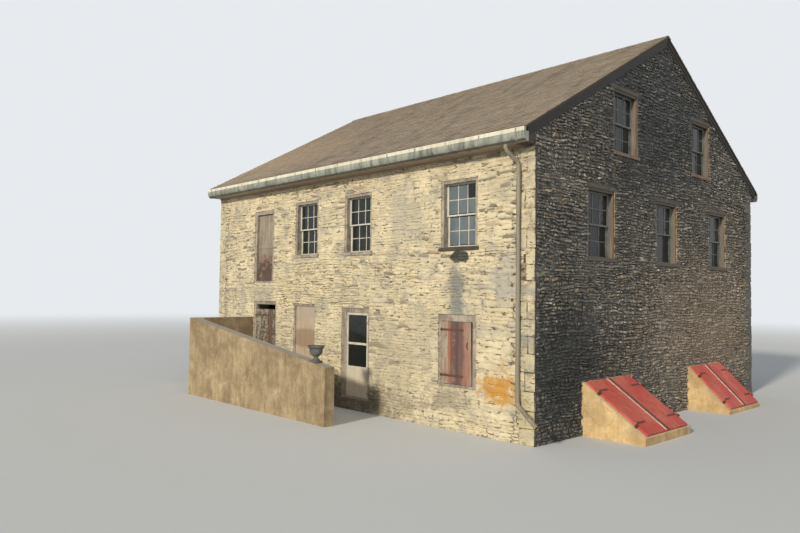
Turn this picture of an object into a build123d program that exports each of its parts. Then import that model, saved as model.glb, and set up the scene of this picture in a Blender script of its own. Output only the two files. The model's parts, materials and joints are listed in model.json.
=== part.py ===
"""Two-storey rubble-stone watermill with a shingled gable roof, built from ground level up.

Millimetres, +Z up. The origin is the centre of the footprint at the underside of the walls, which
run down to the lowest ground; at the front's right corner the ground lies 450 higher.
The long front wall faces -Y, and the gable wall with the two cellar hatches faces +X.
Offsets along the front wall are counted to the left from its corner with the right gable.
Offsets along the rear wall are counted to the right, seen from the front, from the left gable.
"""
import os
from math import cos, pi, radians, sin, tan

from build123d import *

# Walls
LENGTH = 10900
WIDTH = 10000
WALL = 500
LOWER_WALL_TOP = 2450
EAVE_SOFFIT = 5250

# Floors
GROUND_SLAB = 200
MAIN_FLOOR_TOP = 2835
MAIN_FLOOR_DEPTH = 220
ATTIC_FLOOR_DEPTH = 200
ATTIC_FLOOR_BELOW_EAVE = 100
ATTIC_FLOOR_TOP = EAVE_SOFFIT - ATTIC_FLOOR_BELOW_EAVE

# Roof, measured square to the slope
PITCH = 29.0
SHINGLES = 35
DECK = 75
ROOF_OVER_SOFFIT = 445
ROOF_AT_WALL = EAVE_SOFFIT + ROOF_OVER_SOFFIT
EAVE_OVERHANG = 335
VERGE_OVERHANG = 60
BARGE_UPPER = 38
BARGE_LOWER = 24
BARGE_UPPER_DEPTH = 85
BARGE_DEPTH = 160
BARGE_JOINT = 2

# Eaves
CORNICE_REACH = 265
CORNICE_STEP = 28
GUTTER_REACH = 130
GUTTER_HEIGHT = 240
GUTTER_BASE = 55
GUTTER_LIP = 90
GUTTER_METAL = 6
OGEE_BELLY = (0.22, 0.36)

# Downspout on the front wall
SPOUT_RADIUS = 40
SPOUT_OFFSET = 310
SPOUT_OUTLET_OFFSET = 405
SPOUT_STANDOFF = 12
SPOUT_NECK = 95
SPOUT_SWAN_NECK = 300
SPOUT_METAL = 4
SPOUT_FOOT = 685
SPOUT_BEND = 40
SPOUT_KICK = (560, -210, -300)
SPOUT_MOUTH = 120

# Window openings: offset along the wall, and height of the sill over its floor
WINDOW_WIDTH = 930
WINDOW_HEIGHT = 1375
WINDOW_SILL_HEIGHT = 615
WINDOW_SILL = MAIN_FLOOR_TOP + WINDOW_SILL_HEIGHT
FRONT_WINDOWS = (1755, 4765, 6700)
REAR_WINDOWS = (2200, 5450, 8700)
REAR_LOWER_WINDOWS = (3600, 7300)
REAR_LOWER_SILL_HEIGHT = 730
REAR_LOWER_SILL = GROUND_SLAB + REAR_LOWER_SILL_HEIGHT

GABLE_WINDOW_WIDTH = 1030
GABLE_WINDOW_HEIGHT = 1430
GABLE_SILL_HEIGHT = 445
GABLE_SILL = MAIN_FLOOR_TOP + GABLE_SILL_HEIGHT
GABLE_SPREAD = 2780
ATTIC_WINDOW_WIDTH = 1000
ATTIC_WINDOW_HEIGHT = 1360
ATTIC_SILL_HEIGHT = 320
ATTIC_SILL = ATTIC_FLOOR_TOP + ATTIC_SILL_HEIGHT
ATTIC_ROOF_GAP = 173
LINTEL_HEIGHT = 90
LINTEL_BEARING = 70
LINTEL_DEPTH = 120

# Window joinery
FRAME_SETBACK = 15
FRAME_DEPTH = 190
FRAME_SIDE = 62
FRAME_SILL = 75
SILL_NOSE = 35
SILL_HORN = 40
SILL_FALL = 10
SASH_SETBACK = 95
SASH = 34
SASH_STILE = 42
SASH_MEETING = 30
SASH_GAP = 2
GLASS = 4

# Upper loading door
UPPER_DOOR_OFFSET = 8590
UPPER_DOOR_WIDTH = 920
UPPER_DOOR_HEIGHT = 1900
UPPER_DOOR_JAMB = 90
UPPER_DOOR_REVEAL = 70
DOOR_CASE_DEPTH = 140

# Boarded opening in the lower wall
BOARDED_OFFSET = 6745
BOARDED_WIDTH = 880
BOARDED_HEIGHT = 1440
BOARDED_SILL = 880
BOARDED_JAMB = 45
BOARDED_REVEAL = 35
BOARDED_PANEL = 30

# Doorways of the lower wall: masonry opening and the frame round each leaf
LEAF = 36
LEAF_GAP = 6
SAG_GAPS = (34, 12)
STOP = 14
STOP_DEPTH = 24
SEAT = 0.3
DOOR_SETBACK = 20
DOOR_FRAME_DEPTH = 120
THRESHOLD = 50
DOORSTEP = 50
DOOR_SILL = GROUND_SLAB + DOORSTEP
LINTEL_STONE_BEARING = 120

AREAWAY_DOOR_OFFSET = 8490
AREAWAY_DOOR_WIDTH = 1060
AREAWAY_DOOR_HEIGHT = 2110
AREAWAY_DOOR_JAMB = 80
AREAWAY_LEAF_DROP = 120

STORM_DOOR_OFFSET = 4815
STORM_DOOR_WIDTH = 960
STORM_DOOR_HEIGHT = 2020
STORM_DOOR_LEFT_JAMB = 175
STORM_DOOR_RIGHT_JAMB = 50
STORM_DOOR_HEAD_DEPTH = 100
STORM_STILE = 46
STORM_RAIL = 50
STORM_MID_RAIL_HEIGHT = 1230
STORM_BOTTOM_RAIL_HEIGHT = 700
STORM_PANEL = 18

RED_DOOR_OFFSET = 1784
RED_DOOR_WIDTH = 968
RED_DOOR_HEIGHT = 1393
RED_DOOR_SILL = 825
RED_DOOR_LEFT_JAMB = 66
RED_DOOR_RIGHT_JAMB = 104
RED_DOOR_HEAD_DEPTH = 132

LEDGE = 24
LEDGE_WIDTH = 110
LEDGE_INSET = 150

PULL_LENGTH = 150
PULL_RISE = 40
PULL_BAR = 12
PULL_INSET = 88
RED_PULL_HEIGHT = 810
LEVER_LENGTH = 85
LEVER_HEIGHT = 1327

# Strap hinges that hang on a pin
AXIS_RISE = 15
KNUCKLE_RADIUS = 14
PIN_RADIUS = 7.5
PIN_CLEARANCE = 0.5
KNUCKLE_LENGTH = 56
STRAP_WIDTH = 44
STRAP = 6
STRAP_SHARE = 0.72
PLATE_SHARE = 0.8
COLLAR_STEP = 2
HINGE_INSET = 160

# Areaway in front of the lower doors
AREAWAY_INNER = 1440
AREAWAY_WALL = 240
AREAWAY_NEAR = 3700
AREAWAY_FAR = 9320
AREAWAY_RETURN = 280
AREAWAY_NEAR_TOP = 1150
AREAWAY_FAR_TOP = 1930

# Urn on the areaway wall
URN_OFFSET = 4150
URN_PLINTH = 190
URN_PLINTH_RISE = 22
URN_HEIGHT = 300
URN_RIM = 170
URN_BODY = 140
URN_FOOT = 80
URN_FOOT_HEIGHT = 24
URN_STEM = 48
URN_STEM_LEVELS = (60, 84)
URN_BANDS = 4
URN_FLUTES = 24
URN_NECK_HEIGHT = 246
URN_RIM_HEIGHT = 279
URN_SOIL_HEIGHT = 216
URN_SOIL = 100
URN_WALL = 18

# Cellar hatches on the right gable
HATCH_CHEEK = 200
HATCH_LEAF_INSET = 85
HATCH_LEAF = 42
HATCH_MEETING_GAP = 10
HATCH_HEAD = 70
HATCH_SILL = 120
HATCH_RIM_DROP = 26
HATCH_STRAP = 360
HATCH_BRACKET = 38
HATCH_1_CENTRE = 2380
HATCH_1_WIDTH = 1760
HATCH_1_TOP = 1005
HATCH_1_REACH = 1270
HATCH_1_SLOPE = 34.0
HATCH_2_CENTRE = 6900
HATCH_2_WIDTH = 1780
HATCH_2_TOP = 995
HATCH_2_REACH = 960
HATCH_2_SLOPE = 44.0
HINGE_AT = (0.19, 0.80)

# Lines worked out from the sizes above
X_END = LENGTH / 2
Y_END = WIDTH / 2
RISE = tan(radians(PITCH))
SHINGLE_DROP = SHINGLES / cos(radians(PITCH))
DECK_DROP = DECK / cos(radians(PITCH))
SHINGLE_UNDER = ROOF_AT_WALL - SHINGLE_DROP
DECK_UNDER = SHINGLE_UNDER - DECK_DROP
BARGE_UNDER = SHINGLE_UNDER - BARGE_DEPTH / cos(radians(PITCH))
BARGE_STEP = SHINGLE_UNDER - BARGE_UPPER_DEPTH / cos(radians(PITCH))
GUTTER_TOP = ROOF_AT_WALL - RISE * EAVE_OVERHANG - SHINGLE_DROP / 2
GUTTER_UNDER = GUTTER_TOP - GUTTER_HEIGHT
ATTIC_LINTEL_TOP = ATTIC_SILL + ATTIC_WINDOW_HEIGHT + LINTEL_HEIGHT
ATTIC_LINTEL_END = Y_END - (ATTIC_LINTEL_TOP - DECK_UNDER) / RISE - ATTIC_ROOF_GAP
ATTIC_SPREAD = ATTIC_LINTEL_END - LINTEL_BEARING - ATTIC_WINDOW_WIDTH / 2


def block(x, y, z):
    """Rectangular solid between a low and a high value on each axis."""
    size = [high - low for low, high in (x, y, z)]
    centre = [(high + low) / 2 for low, high in (x, y, z)]
    return Pos(*centre) * Box(*size)


def prism_x(points, x_low, x_high):
    """Solid with a (y, z) outline that runs along X."""
    face = make_face(Polyline(*[(x_low, y, z) for y, z in points], close=True))
    return extrude(face, x_high - x_low, dir=(1, 0, 0))


def prism_y(points, y_low, y_high):
    """Solid with an (x, z) outline that runs along Y."""
    face = make_face(Polyline(*[(x, y_low, z) for x, z in points], close=True))
    return extrude(face, y_high - y_low, dir=(0, 1, 0))


def on_front(offset, z):
    """Place on the front wall's outer face; local +Y points into the building."""
    return Location((X_END - offset, -Y_END, z))


def on_rear(offset, z):
    """Place on the rear wall's outer face."""
    return Location((-X_END + offset, Y_END, z), (0, 0, 180))


def on_right(y, z):
    """Place on the right gable's outer face."""
    return Location((X_END, y, z), (0, 0, 90))


def on_left(y, z):
    """Place on the left gable's outer face."""
    return Location((-X_END, y, z), (0, 0, -90))


def slope_z(level_at_wall, y):
    """Height of a plane of the roof that stands at level_at_wall over the walls' outer faces."""
    return level_at_wall + RISE * (Y_END - abs(y))


def through(width, height):
    """Cutter for an opening, centred in x and standing on its sill."""
    return block((-width / 2, width / 2), (-WALL, 2 * WALL), (0, height))


def ring(width, height, depth, left, right, head, foot):
    """Rectangular frame with its outer face at y = 0 and its foot at z = 0."""
    outer = block((-width / 2, width / 2), (0, depth), (0, height))
    clear = block((left - width / 2, width / 2 - right), (-depth, 2 * depth), (foot, height - head))
    return outer - clear


# Windows
def window_frame(width, height):
    """Box frame of a sash window with a weathered sill that stands out from the wall."""
    frame = Pos(0, FRAME_SETBACK, 0) * ring(
        width, height, FRAME_DEPTH, FRAME_SIDE, FRAME_SIDE, FRAME_SIDE, FRAME_SILL
    )
    seat = block((-width / 2, width / 2), (0, FRAME_SETBACK), (0, FRAME_SILL))
    nose = [(-SILL_NOSE, 0), (0, 0), (0, FRAME_SILL), (-SILL_NOSE, FRAME_SILL - SILL_FALL)]
    half = width / 2 + SILL_HORN
    return frame + seat + prism_x(nose, -half, half)


def sash_size(width, height):
    """Width and height of one sash, and the height at which the upper sash starts."""
    clear_height = height - FRAME_SIDE - FRAME_SILL
    sash_height = (clear_height + SASH_MEETING) / 2
    return width - 2 * FRAME_SIDE, sash_height, FRAME_SILL + clear_height - sash_height


def sash_pair(width, height):
    """Upper sash in the outer track and lower sash in the inner one."""
    sash_width, sash_height, upper_z = sash_size(width, height)
    sash = ring(sash_width, sash_height, SASH, SASH_STILE, SASH_STILE, SASH_MEETING, SASH_MEETING)
    outer_y = FRAME_SETBACK + SASH_SETBACK
    return [Pos(0, outer_y, upper_z) * sash, Pos(0, outer_y + SASH + SASH_GAP, FRAME_SILL) * sash]


def sash_panes(width, height):
    """One sheet of glass in each sash."""
    sash_width, sash_height, upper_z = sash_size(width, height)
    pane = block(
        (SASH_STILE - sash_width / 2, sash_width / 2 - SASH_STILE),
        (0, GLASS),
        (SASH_MEETING, sash_height - SASH_MEETING),
    )
    outer_y = FRAME_SETBACK + SASH_SETBACK + (SASH - GLASS) / 2
    return [Pos(0, outer_y, upper_z) * pane, Pos(0, outer_y + SASH + SASH_GAP, FRAME_SILL) * pane]


def lintel(width, height):
    """Timber lintel set in the wall's outer face over a gable window."""
    half = width / 2 + LINTEL_BEARING
    return block((-half, half), (0, LINTEL_DEPTH), (height, height + LINTEL_HEIGHT))


def gable_windows(place):
    """Places and sizes of the five windows of one gable."""
    main = [(place(y, GABLE_SILL), GABLE_WINDOW_WIDTH, GABLE_WINDOW_HEIGHT)
            for y in (-GABLE_SPREAD, 0, GABLE_SPREAD)]
    attic = [(place(y, ATTIC_SILL), ATTIC_WINDOW_WIDTH, ATTIC_WINDOW_HEIGHT)
             for y in (-ATTIC_SPREAD, ATTIC_SPREAD)]
    return main + attic


def front_windows():
    """Places and sizes of the front wall's sash windows."""
    return [(on_front(offset, WINDOW_SILL), WINDOW_WIDTH, WINDOW_HEIGHT) for offset in FRONT_WINDOWS]


def rear_windows():
    """Places and sizes of the rear wall's two rows of sash windows."""
    upper = [(on_rear(offset, WINDOW_SILL), WINDOW_WIDTH, WINDOW_HEIGHT) for offset in REAR_WINDOWS]
    lower = [(on_rear(offset, REAR_LOWER_SILL), WINDOW_WIDTH, WINDOW_HEIGHT)
             for offset in REAR_LOWER_WINDOWS]
    return upper + lower


def window_nodes(side, windows):
    """Frames and sashes of all windows of one wall."""
    return {
        f"{side}_window_frames": [place * window_frame(w, h) for place, w, h in windows],
        f"{side}_sashes": [place * s for place, w, h in windows for s in sash_pair(w, h)],
    }


# Walls
def gable_wall(place, x_low, x_high):
    """Gable wall from the ground to the underside of the roof deck."""
    ridge = slope_z(DECK_UNDER, 0)
    outline = [(-Y_END, 0), (Y_END, 0), (Y_END, DECK_UNDER), (0, ridge), (-Y_END, DECK_UNDER)]
    wall = prism_x(outline, x_low, x_high)
    for window, width, height in gable_windows(place):
        wall -= window * through(width, height)
        wall -= window * lintel(width, height)
    return wall


def long_wall(side, z_low, windows):
    """Upper part or whole of a long wall; its top follows the roof deck. side is -1 at the front."""
    outer, inner = side * Y_END, side * (Y_END - WALL)
    outline = [(outer, z_low), (inner, z_low), (inner, slope_z(DECK_UNDER, inner)), (outer, DECK_UNDER)]
    wall = prism_x(outline, WALL - X_END, X_END - WALL)
    for window, width, height in windows:
        wall -= window * through(width, height)
    return wall


def doorways():
    """Offset, width, sill level and height of the three doorways of the lower front wall."""
    return (
        (AREAWAY_DOOR_OFFSET, AREAWAY_DOOR_WIDTH, DOOR_SILL, AREAWAY_DOOR_HEIGHT),
        (STORM_DOOR_OFFSET, STORM_DOOR_WIDTH, DOOR_SILL, STORM_DOOR_HEIGHT),
        (RED_DOOR_OFFSET, RED_DOOR_WIDTH, RED_DOOR_SILL, RED_DOOR_HEIGHT),
    )


def door_lintels():
    """Stone lintels that bear on the piers beside each doorway."""
    stones = []
    for offset, width, sill, height in doorways():
        half = width / 2 + LINTEL_STONE_BEARING
        stones.append(on_front(offset, 0) * block((-half, half), (0, WALL), (sill + height, LOWER_WALL_TOP)))
    return stones


def door_breasts():
    """Masonry under the sill of each doorway."""
    return [on_front(offset, 0) * block((-width / 2, width / 2), (0, WALL), (0, sill))
            for offset, width, sill, _ in doorways()]


def front_piers():
    """The four stretches of the lower front wall, left to right."""
    edges = [LENGTH - WALL]
    for offset, width, _, _ in doorways():
        edges += [offset + width / 2, offset - width / 2]
    edges.append(WALL)
    piers = [on_front(0, 0) * block((-left, -right), (0, WALL), (0, LOWER_WALL_TOP))
             for left, right in zip(edges[::2], edges[1::2])]
    for stone in door_lintels():
        piers = [pier - stone for pier in piers]
    piers[1] -= on_front(BOARDED_OFFSET, BOARDED_SILL) * through(BOARDED_WIDTH, BOARDED_HEIGHT)
    return piers


def floor(top, depth):
    """Floor that fills the space between the walls."""
    return block((WALL - X_END, X_END - WALL), (WALL - Y_END, Y_END - WALL), (top - depth, top))


# Roof
def roof_layer(side, top, under, reach, overhang):
    """One slope of a roof layer; side is -1 at the front, overhang is past the gable walls."""
    edge = side * (Y_END + reach)
    outline = [(edge, slope_z(top, edge)), (edge, slope_z(under, edge)), (0, slope_z(under, 0)),
               (0, slope_z(top, 0))]
    return prism_x(outline, -X_END - overhang, X_END + overhang)


def bargeboard(side, end):
    """Stepped board under the verge on one slope of one gable; end is +1 at the right gable."""
    outer, ridge = side * (Y_END + CORNICE_REACH), side * BARGE_JOINT / 2
    layers = ((BARGE_STEP, BARGE_UPPER), (BARGE_UNDER, BARGE_LOWER))
    boards = []
    for under, thickness in layers:
        outline = [(outer, slope_z(SHINGLE_UNDER, outer)), (outer, slope_z(under, outer)),
                   (ridge, slope_z(under, ridge)), (ridge, slope_z(SHINGLE_UNDER, ridge))]
        low, high = sorted((end * X_END, end * (X_END + thickness)))
        boards.append(prism_x(outline, low, high))
    return boards[0] + boards[1]


def cornice(side):
    """Boxed cornice under the eave, stepped where a moulding meets the wall."""
    wall, face = side * Y_END, side * (Y_END + CORNICE_REACH)
    step = side * (Y_END + CORNICE_STEP)
    outline = [(wall, EAVE_SOFFIT - CORNICE_STEP), (step, EAVE_SOFFIT - CORNICE_STEP), (step, EAVE_SOFFIT),
               (face, EAVE_SOFFIT), (face, slope_z(DECK_UNDER, face)), (wall, DECK_UNDER)]
    return prism_x(outline, -X_END, X_END)


def gutter(side):
    """Ogee gutter with closed ends, hung on the face of the cornice."""
    back = Y_END + CORNICE_REACH
    front = back + GUTTER_REACH
    back_top = slope_z(DECK_UNDER, back) - GUTTER_METAL

    def outline(inset):
        """Closed (y, z) outline, drawn in by the thickness of the metal and left open above."""
        low, lip = GUTTER_UNDER + inset, GUTTER_TOP - GUTTER_LIP
        back_y, front_y, base_y = back + inset, front - inset, back + GUTTER_BASE
        rise = GUTTER_TOP + (GUTTER_HEIGHT if inset else 0)
        belly = (0, front_y - (front_y - base_y) * OGEE_BELLY[0], low + (lip - low) * OGEE_BELLY[1])
        curve = ThreePointArc((0, base_y, low), belly, (0, front_y, lip))
        return make_face(curve + Polyline(
            (0, front_y, lip), (0, front_y, rise), (0, back_y, rise), (0, back_y, low), (0, base_y, low)
        ))

    run = LENGTH + 2 * VERGE_OVERHANG
    body = Pos(-run / 2, 0, 0) * extrude(outline(0), run, dir=(1, 0, 0))
    hollow_run = run - 2 * GUTTER_METAL
    body -= Pos(-hollow_run / 2, 0, 0) * extrude(outline(GUTTER_METAL), hollow_run, dir=(1, 0, 0))
    body -= block((-run, run), (back - GUTTER_METAL, back + EAVE_OVERHANG - CORNICE_REACH + GUTTER_METAL),
                  (back_top, GUTTER_TOP + GUTTER_HEIGHT))
    return body if side > 0 else Rot(0, 0, 180) * body


def gored(points, cut):
    """Line through the points with its corners cut off, as a sheet-metal elbow turns in straight gores."""
    places = [Vector(*point) for point in points]
    line = [places[0]]
    for before, corner, after in zip(places, places[1:], places[2:]):
        line += [corner + (before - corner).normalized() * cut, corner + (after - corner).normalized() * cut]
    return line + [places[-1]]


def downspout():
    """Pipe from the gutter's outlet, back to the wall, down it and out at the foot."""
    wall_y = -Y_END - SPOUT_STANDOFF - SPOUT_RADIUS
    outlet_y = -Y_END - CORNICE_REACH - SPOUT_RADIUS
    x, outlet_x = X_END - SPOUT_OFFSET, X_END - SPOUT_OUTLET_OFFSET
    points = [
        (outlet_x, outlet_y, GUTTER_UNDER),
        (outlet_x, outlet_y, GUTTER_UNDER - SPOUT_NECK),
        (x, wall_y, GUTTER_UNDER - SPOUT_SWAN_NECK),
        (x, wall_y, SPOUT_FOOT),
        (x + SPOUT_KICK[0], wall_y + SPOUT_KICK[1], SPOUT_FOOT + SPOUT_KICK[2]),
    ]
    path = Polyline(*gored(points, SPOUT_BEND))
    section = Plane(origin=path @ 0, z_dir=path % 0) * Circle(SPOUT_RADIUS)
    pipe = sweep(section, path=path, transition=Transition.RIGHT)
    mouth = Plane(origin=path @ 1, z_dir=-(path % 1)).location
    return pipe - mouth * Pos(0, 0, SPOUT_MOUTH / 2) * Cylinder(SPOUT_RADIUS - SPOUT_METAL, SPOUT_MOUTH)


# Doors without a joint
def upper_door_frame():
    """Frame of the upper loading door."""
    return on_front(UPPER_DOOR_OFFSET, MAIN_FLOOR_TOP) * Pos(0, FRAME_SETBACK, 0) * ring(
        UPPER_DOOR_WIDTH, UPPER_DOOR_HEIGHT, DOOR_CASE_DEPTH, UPPER_DOOR_JAMB, UPPER_DOOR_JAMB,
        UPPER_DOOR_JAMB, THRESHOLD
    )


def upper_door():
    """Fixed leaf of the upper loading door, with ledges on its inner face."""
    half = UPPER_DOOR_WIDTH / 2 - UPPER_DOOR_JAMB
    top = UPPER_DOOR_HEIGHT - UPPER_DOOR_JAMB
    outer_y = FRAME_SETBACK + UPPER_DOOR_REVEAL
    leaf = block((-half, half), (outer_y, outer_y + LEAF), (THRESHOLD, top))
    ledges = ledge_pair((-half, half), outer_y + LEAF, THRESHOLD, top)
    return on_front(UPPER_DOOR_OFFSET, MAIN_FLOOR_TOP) * (leaf + ledges)


def ledge_pair(x, y, z_low, z_high):
    """Two cross ledges on the inner face of a boarded door."""
    low = block(x, (y, y + LEDGE), (z_low + LEDGE_INSET, z_low + LEDGE_INSET + LEDGE_WIDTH))
    high = block(x, (y, y + LEDGE), (z_high - LEDGE_INSET - LEDGE_WIDTH, z_high - LEDGE_INSET))
    return low + high


def boarded_frame():
    """Frame of the boarded opening."""
    return on_front(BOARDED_OFFSET, BOARDED_SILL) * Pos(0, FRAME_SETBACK, 0) * ring(
        BOARDED_WIDTH, BOARDED_HEIGHT, DOOR_CASE_DEPTH, BOARDED_JAMB, BOARDED_JAMB, BOARDED_JAMB,
        BOARDED_JAMB
    )


def boarded_panel():
    """Boards that close the opening."""
    half = BOARDED_WIDTH / 2 - BOARDED_JAMB
    outer_y = FRAME_SETBACK + BOARDED_REVEAL
    return on_front(BOARDED_OFFSET, BOARDED_SILL) * block(
        (-half, half), (outer_y, outer_y + BOARDED_PANEL), (BOARDED_JAMB, BOARDED_HEIGHT - BOARDED_JAMB)
    )


# Hinged doors. In a hinge's own frame z runs along the pin, x along the closed leaf and
# y out of it; the leaf's outer face lies AXIS_RISE below the pin's axis.
def strap_hinge(length, z):
    """Strap and knuckle that ride on the leaf."""
    knuckle = Pos(0, 0, z) * Cylinder(KNUCKLE_RADIUS, KNUCKLE_LENGTH)
    strap = block((0, length), (-AXIS_RISE, STRAP - AXIS_RISE), (z - STRAP_WIDTH / 2, z + STRAP_WIDTH / 2))
    cheek = block((0, KNUCKLE_RADIUS), (-AXIS_RISE, 0), (z - STRAP_WIDTH / 2, z + STRAP_WIDTH / 2))
    bore = Pos(0, 0, z) * Cylinder(PIN_RADIUS + PIN_CLEARANCE, 2 * KNUCKLE_LENGTH)
    return knuckle + strap + cheek - bore


def pintle(z, below, plate_low, plate_high, seat):
    """Pin with a plate on the fixed frame; below is the side of the knuckle that carries it."""
    start = z + below * (KNUCKLE_LENGTH / 2 + PIN_CLEARANCE)
    end = start + below * STRAP_WIDTH
    low, high = sorted((start, end))
    pin = Pos(0, 0, (z - below * KNUCKLE_LENGTH / 2 + end) / 2) * Cylinder(
        PIN_RADIUS, abs(end - z + below * KNUCKLE_LENGTH / 2)
    )
    collar = Pos(0, 0, (low + high) / 2) * Cylinder(KNUCKLE_RADIUS - COLLAR_STEP, high - low)
    arm = block((plate_low, 0), (-AXIS_RISE + STRAP, STRAP), (low, high))
    plate = block((plate_low, plate_high), (seat, STRAP), (low, high))
    return pin + collar + arm + plate


def hinge_frame_left(offset, z):
    """Hinge frame of a door hung at its left jamb: x to the right, y outward, z down."""
    origin = (X_END - offset, -Y_END + DOOR_SETBACK - AXIS_RISE, z)
    return Plane(origin=origin, x_dir=(1, 0, 0), z_dir=(0, 0, -1)).location


def hinge_frame_right(offset, z):
    """Hinge frame of a door hung at its right jamb: x to the left, y outward, z up."""
    origin = (X_END - offset, -Y_END + DOOR_SETBACK - AXIS_RISE, z)
    return Plane(origin=origin, x_dir=(-1, 0, 0), z_dir=(0, 0, 1)).location


def door_frame(offset, width, sill, height, left, right, head_depth):
    """Frame with a rebate: the leaf shuts against a stop behind it."""
    outer = ring(width, height, DOOR_FRAME_DEPTH, left, right, head_depth, THRESHOLD)
    stop = ring(width, height, STOP_DEPTH, left + STOP, right + STOP, head_depth + STOP, THRESHOLD)
    return on_front(offset, sill) * Pos(0, DOOR_SETBACK, 0) * (outer + Pos(0, LEAF + SEAT, 0) * stop)


def door_span(offset, width, left, right):
    """Offsets of the left and right edges of the clear opening inside a frame."""
    return offset + width / 2 - left, offset - width / 2 + right


def board_leaf(width, z_low, z_high, latch_gaps):
    """Leaf of upright boards in a left-hung hinge frame, with two ledges behind.

    latch_gaps are the gaps at the top and bottom of the latch edge, which differ where the leaf sags.
    """
    top, bottom = -z_high, -z_low
    x_top, x_bottom = (width - gap for gap in latch_gaps)
    y_out = -AXIS_RISE
    outline = [(LEAF_GAP, top), (x_top, top), (x_bottom, bottom), (LEAF_GAP, bottom)]
    leaf = prism_y(outline, y_out - LEAF, y_out)
    inner_x = (LEAF_GAP + STOP + LEAF_GAP, x_top - STOP - LEAF_GAP)
    for z in (top + LEDGE_INSET, bottom - LEDGE_INSET - LEDGE_WIDTH):
        leaf += block(inner_x, (y_out - LEAF - LEDGE, y_out - LEAF), (z, z + LEDGE_WIDTH))
    return leaf


def pull_handle(x, z):
    """Bow handle on a leaf's outer face, in the hinge frame."""
    foot, half = -AXIS_RISE, PULL_LENGTH / 2
    inner_half, inner_rise = half - PULL_BAR, PULL_RISE - PULL_BAR
    outer = ThreePointArc((x, foot, z - half), (x, foot + PULL_RISE, z), (x, foot, z + half))
    inner = ThreePointArc((x, foot, z + inner_half), (x, foot + inner_rise, z), (x, foot, z - inner_half))
    bow = make_face(outer + Line(outer @ 1, inner @ 0) + inner + Line(inner @ 1, outer @ 0))
    return extrude(bow, PULL_BAR, dir=(1, 0, 0))


def lever_handle(x, z):
    """Lever on a post near x, pointing back along the leaf, in the hinge frame."""
    post = block((x - PULL_BAR, x), (-AXIS_RISE, PULL_RISE - AXIS_RISE), (z - PULL_BAR / 2, z + PULL_BAR / 2))
    lever = block((x - LEVER_LENGTH, x), (PULL_RISE - AXIS_RISE - PULL_BAR, PULL_RISE - AXIS_RISE),
                  (z - PULL_BAR, z + PULL_BAR))
    return post + lever


def left_hung_door(offset, width, sill, height, left, right, head_depth, drop, latch_gaps):
    """Boarded door on two strap hinges, and the pins on its frame."""
    high, low = door_span(offset, width, left, right)
    z_low, z_high = sill + THRESHOLD + LEAF_GAP, sill + height - head_depth - LEAF_GAP - drop
    clear = high - low
    place = hinge_frame_left(high - LEAF_GAP, 0)
    leaf = Pos(-LEAF_GAP, 0, 0) * board_leaf(clear, z_low, z_high, latch_gaps)
    pins = []
    for z in (-z_high + HINGE_INSET, -z_low - HINGE_INSET):
        leaf += strap_hinge(clear * STRAP_SHARE, z)
        pins.append(pintle(z, 1, -left * PLATE_SHARE, -2 * LEAF_GAP, -AXIS_RISE))
    frame = door_frame(offset, width, sill, height, left, right, head_depth)
    for pin in pins:
        frame += place * pin
    return place * leaf, frame


def red_door_pull():
    """Handle of the red door, in place near its latch edge."""
    high, low = door_span(RED_DOOR_OFFSET, RED_DOOR_WIDTH, RED_DOOR_LEFT_JAMB, RED_DOOR_RIGHT_JAMB)
    x = high - low - LEAF_GAP - SAG_GAPS[0] - PULL_INSET
    return hinge_frame_left(high - LEAF_GAP, 0) * pull_handle(x, -RED_DOOR_SILL - RED_PULL_HEIGHT)


def storm_door():
    """Glazed door hung at its right jamb: leaf, glass and frame."""
    high, low = door_span(STORM_DOOR_OFFSET, STORM_DOOR_WIDTH, STORM_DOOR_LEFT_JAMB, STORM_DOOR_RIGHT_JAMB)
    z_low = DOOR_SILL + THRESHOLD + LEAF_GAP
    z_high = DOOR_SILL + STORM_DOOR_HEIGHT - STORM_DOOR_HEAD_DEPTH - LEAF_GAP
    mid_rail, bottom_rail = DOOR_SILL + STORM_MID_RAIL_HEIGHT, DOOR_SILL + STORM_BOTTOM_RAIL_HEIGHT
    width = high - low - 2 * LEAF_GAP
    place = hinge_frame_right(low + LEAF_GAP, 0)
    y = (-AXIS_RISE - LEAF, -AXIS_RISE)
    leaf = block((0, width), y, (z_low, z_high))
    inner_x = (STORM_STILE, width - STORM_STILE)
    lights = ((bottom_rail + STORM_RAIL / 2, mid_rail - STORM_RAIL / 2),
              (mid_rail + STORM_RAIL / 2, z_high - STORM_RAIL))
    panel_y = (-AXIS_RISE - (LEAF + STORM_PANEL) / 2, -AXIS_RISE - (LEAF - STORM_PANEL) / 2)
    for light in lights:
        leaf -= block(inner_x, (y[0] - LEAF, 0), light)
    kick = (z_low + 2 * STORM_RAIL, bottom_rail - STORM_RAIL / 2)
    leaf -= block(inner_x, (panel_y[1], 0), kick)
    leaf -= block(inner_x, (y[0] - LEAF, panel_y[0]), kick)
    glass_y = (-AXIS_RISE - (LEAF + GLASS) / 2, -AXIS_RISE - (LEAF - GLASS) / 2)
    glass = [place * block(inner_x, glass_y, light) for light in lights]
    frame = door_frame(STORM_DOOR_OFFSET, STORM_DOOR_WIDTH, DOOR_SILL, STORM_DOOR_HEIGHT,
                       STORM_DOOR_LEFT_JAMB, STORM_DOOR_RIGHT_JAMB, STORM_DOOR_HEAD_DEPTH)
    for z in (z_low + HINGE_INSET, z_high - HINGE_INSET):
        leaf += strap_hinge(STORM_STILE, z)
        frame += place * pintle(z, -1, -STORM_DOOR_RIGHT_JAMB * PLATE_SHARE, -2 * LEAF_GAP, -AXIS_RISE)
    leaf += lever_handle(width - PULL_BAR, DOOR_SILL + LEVER_HEIGHT)
    return place * leaf, glass, frame


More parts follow.
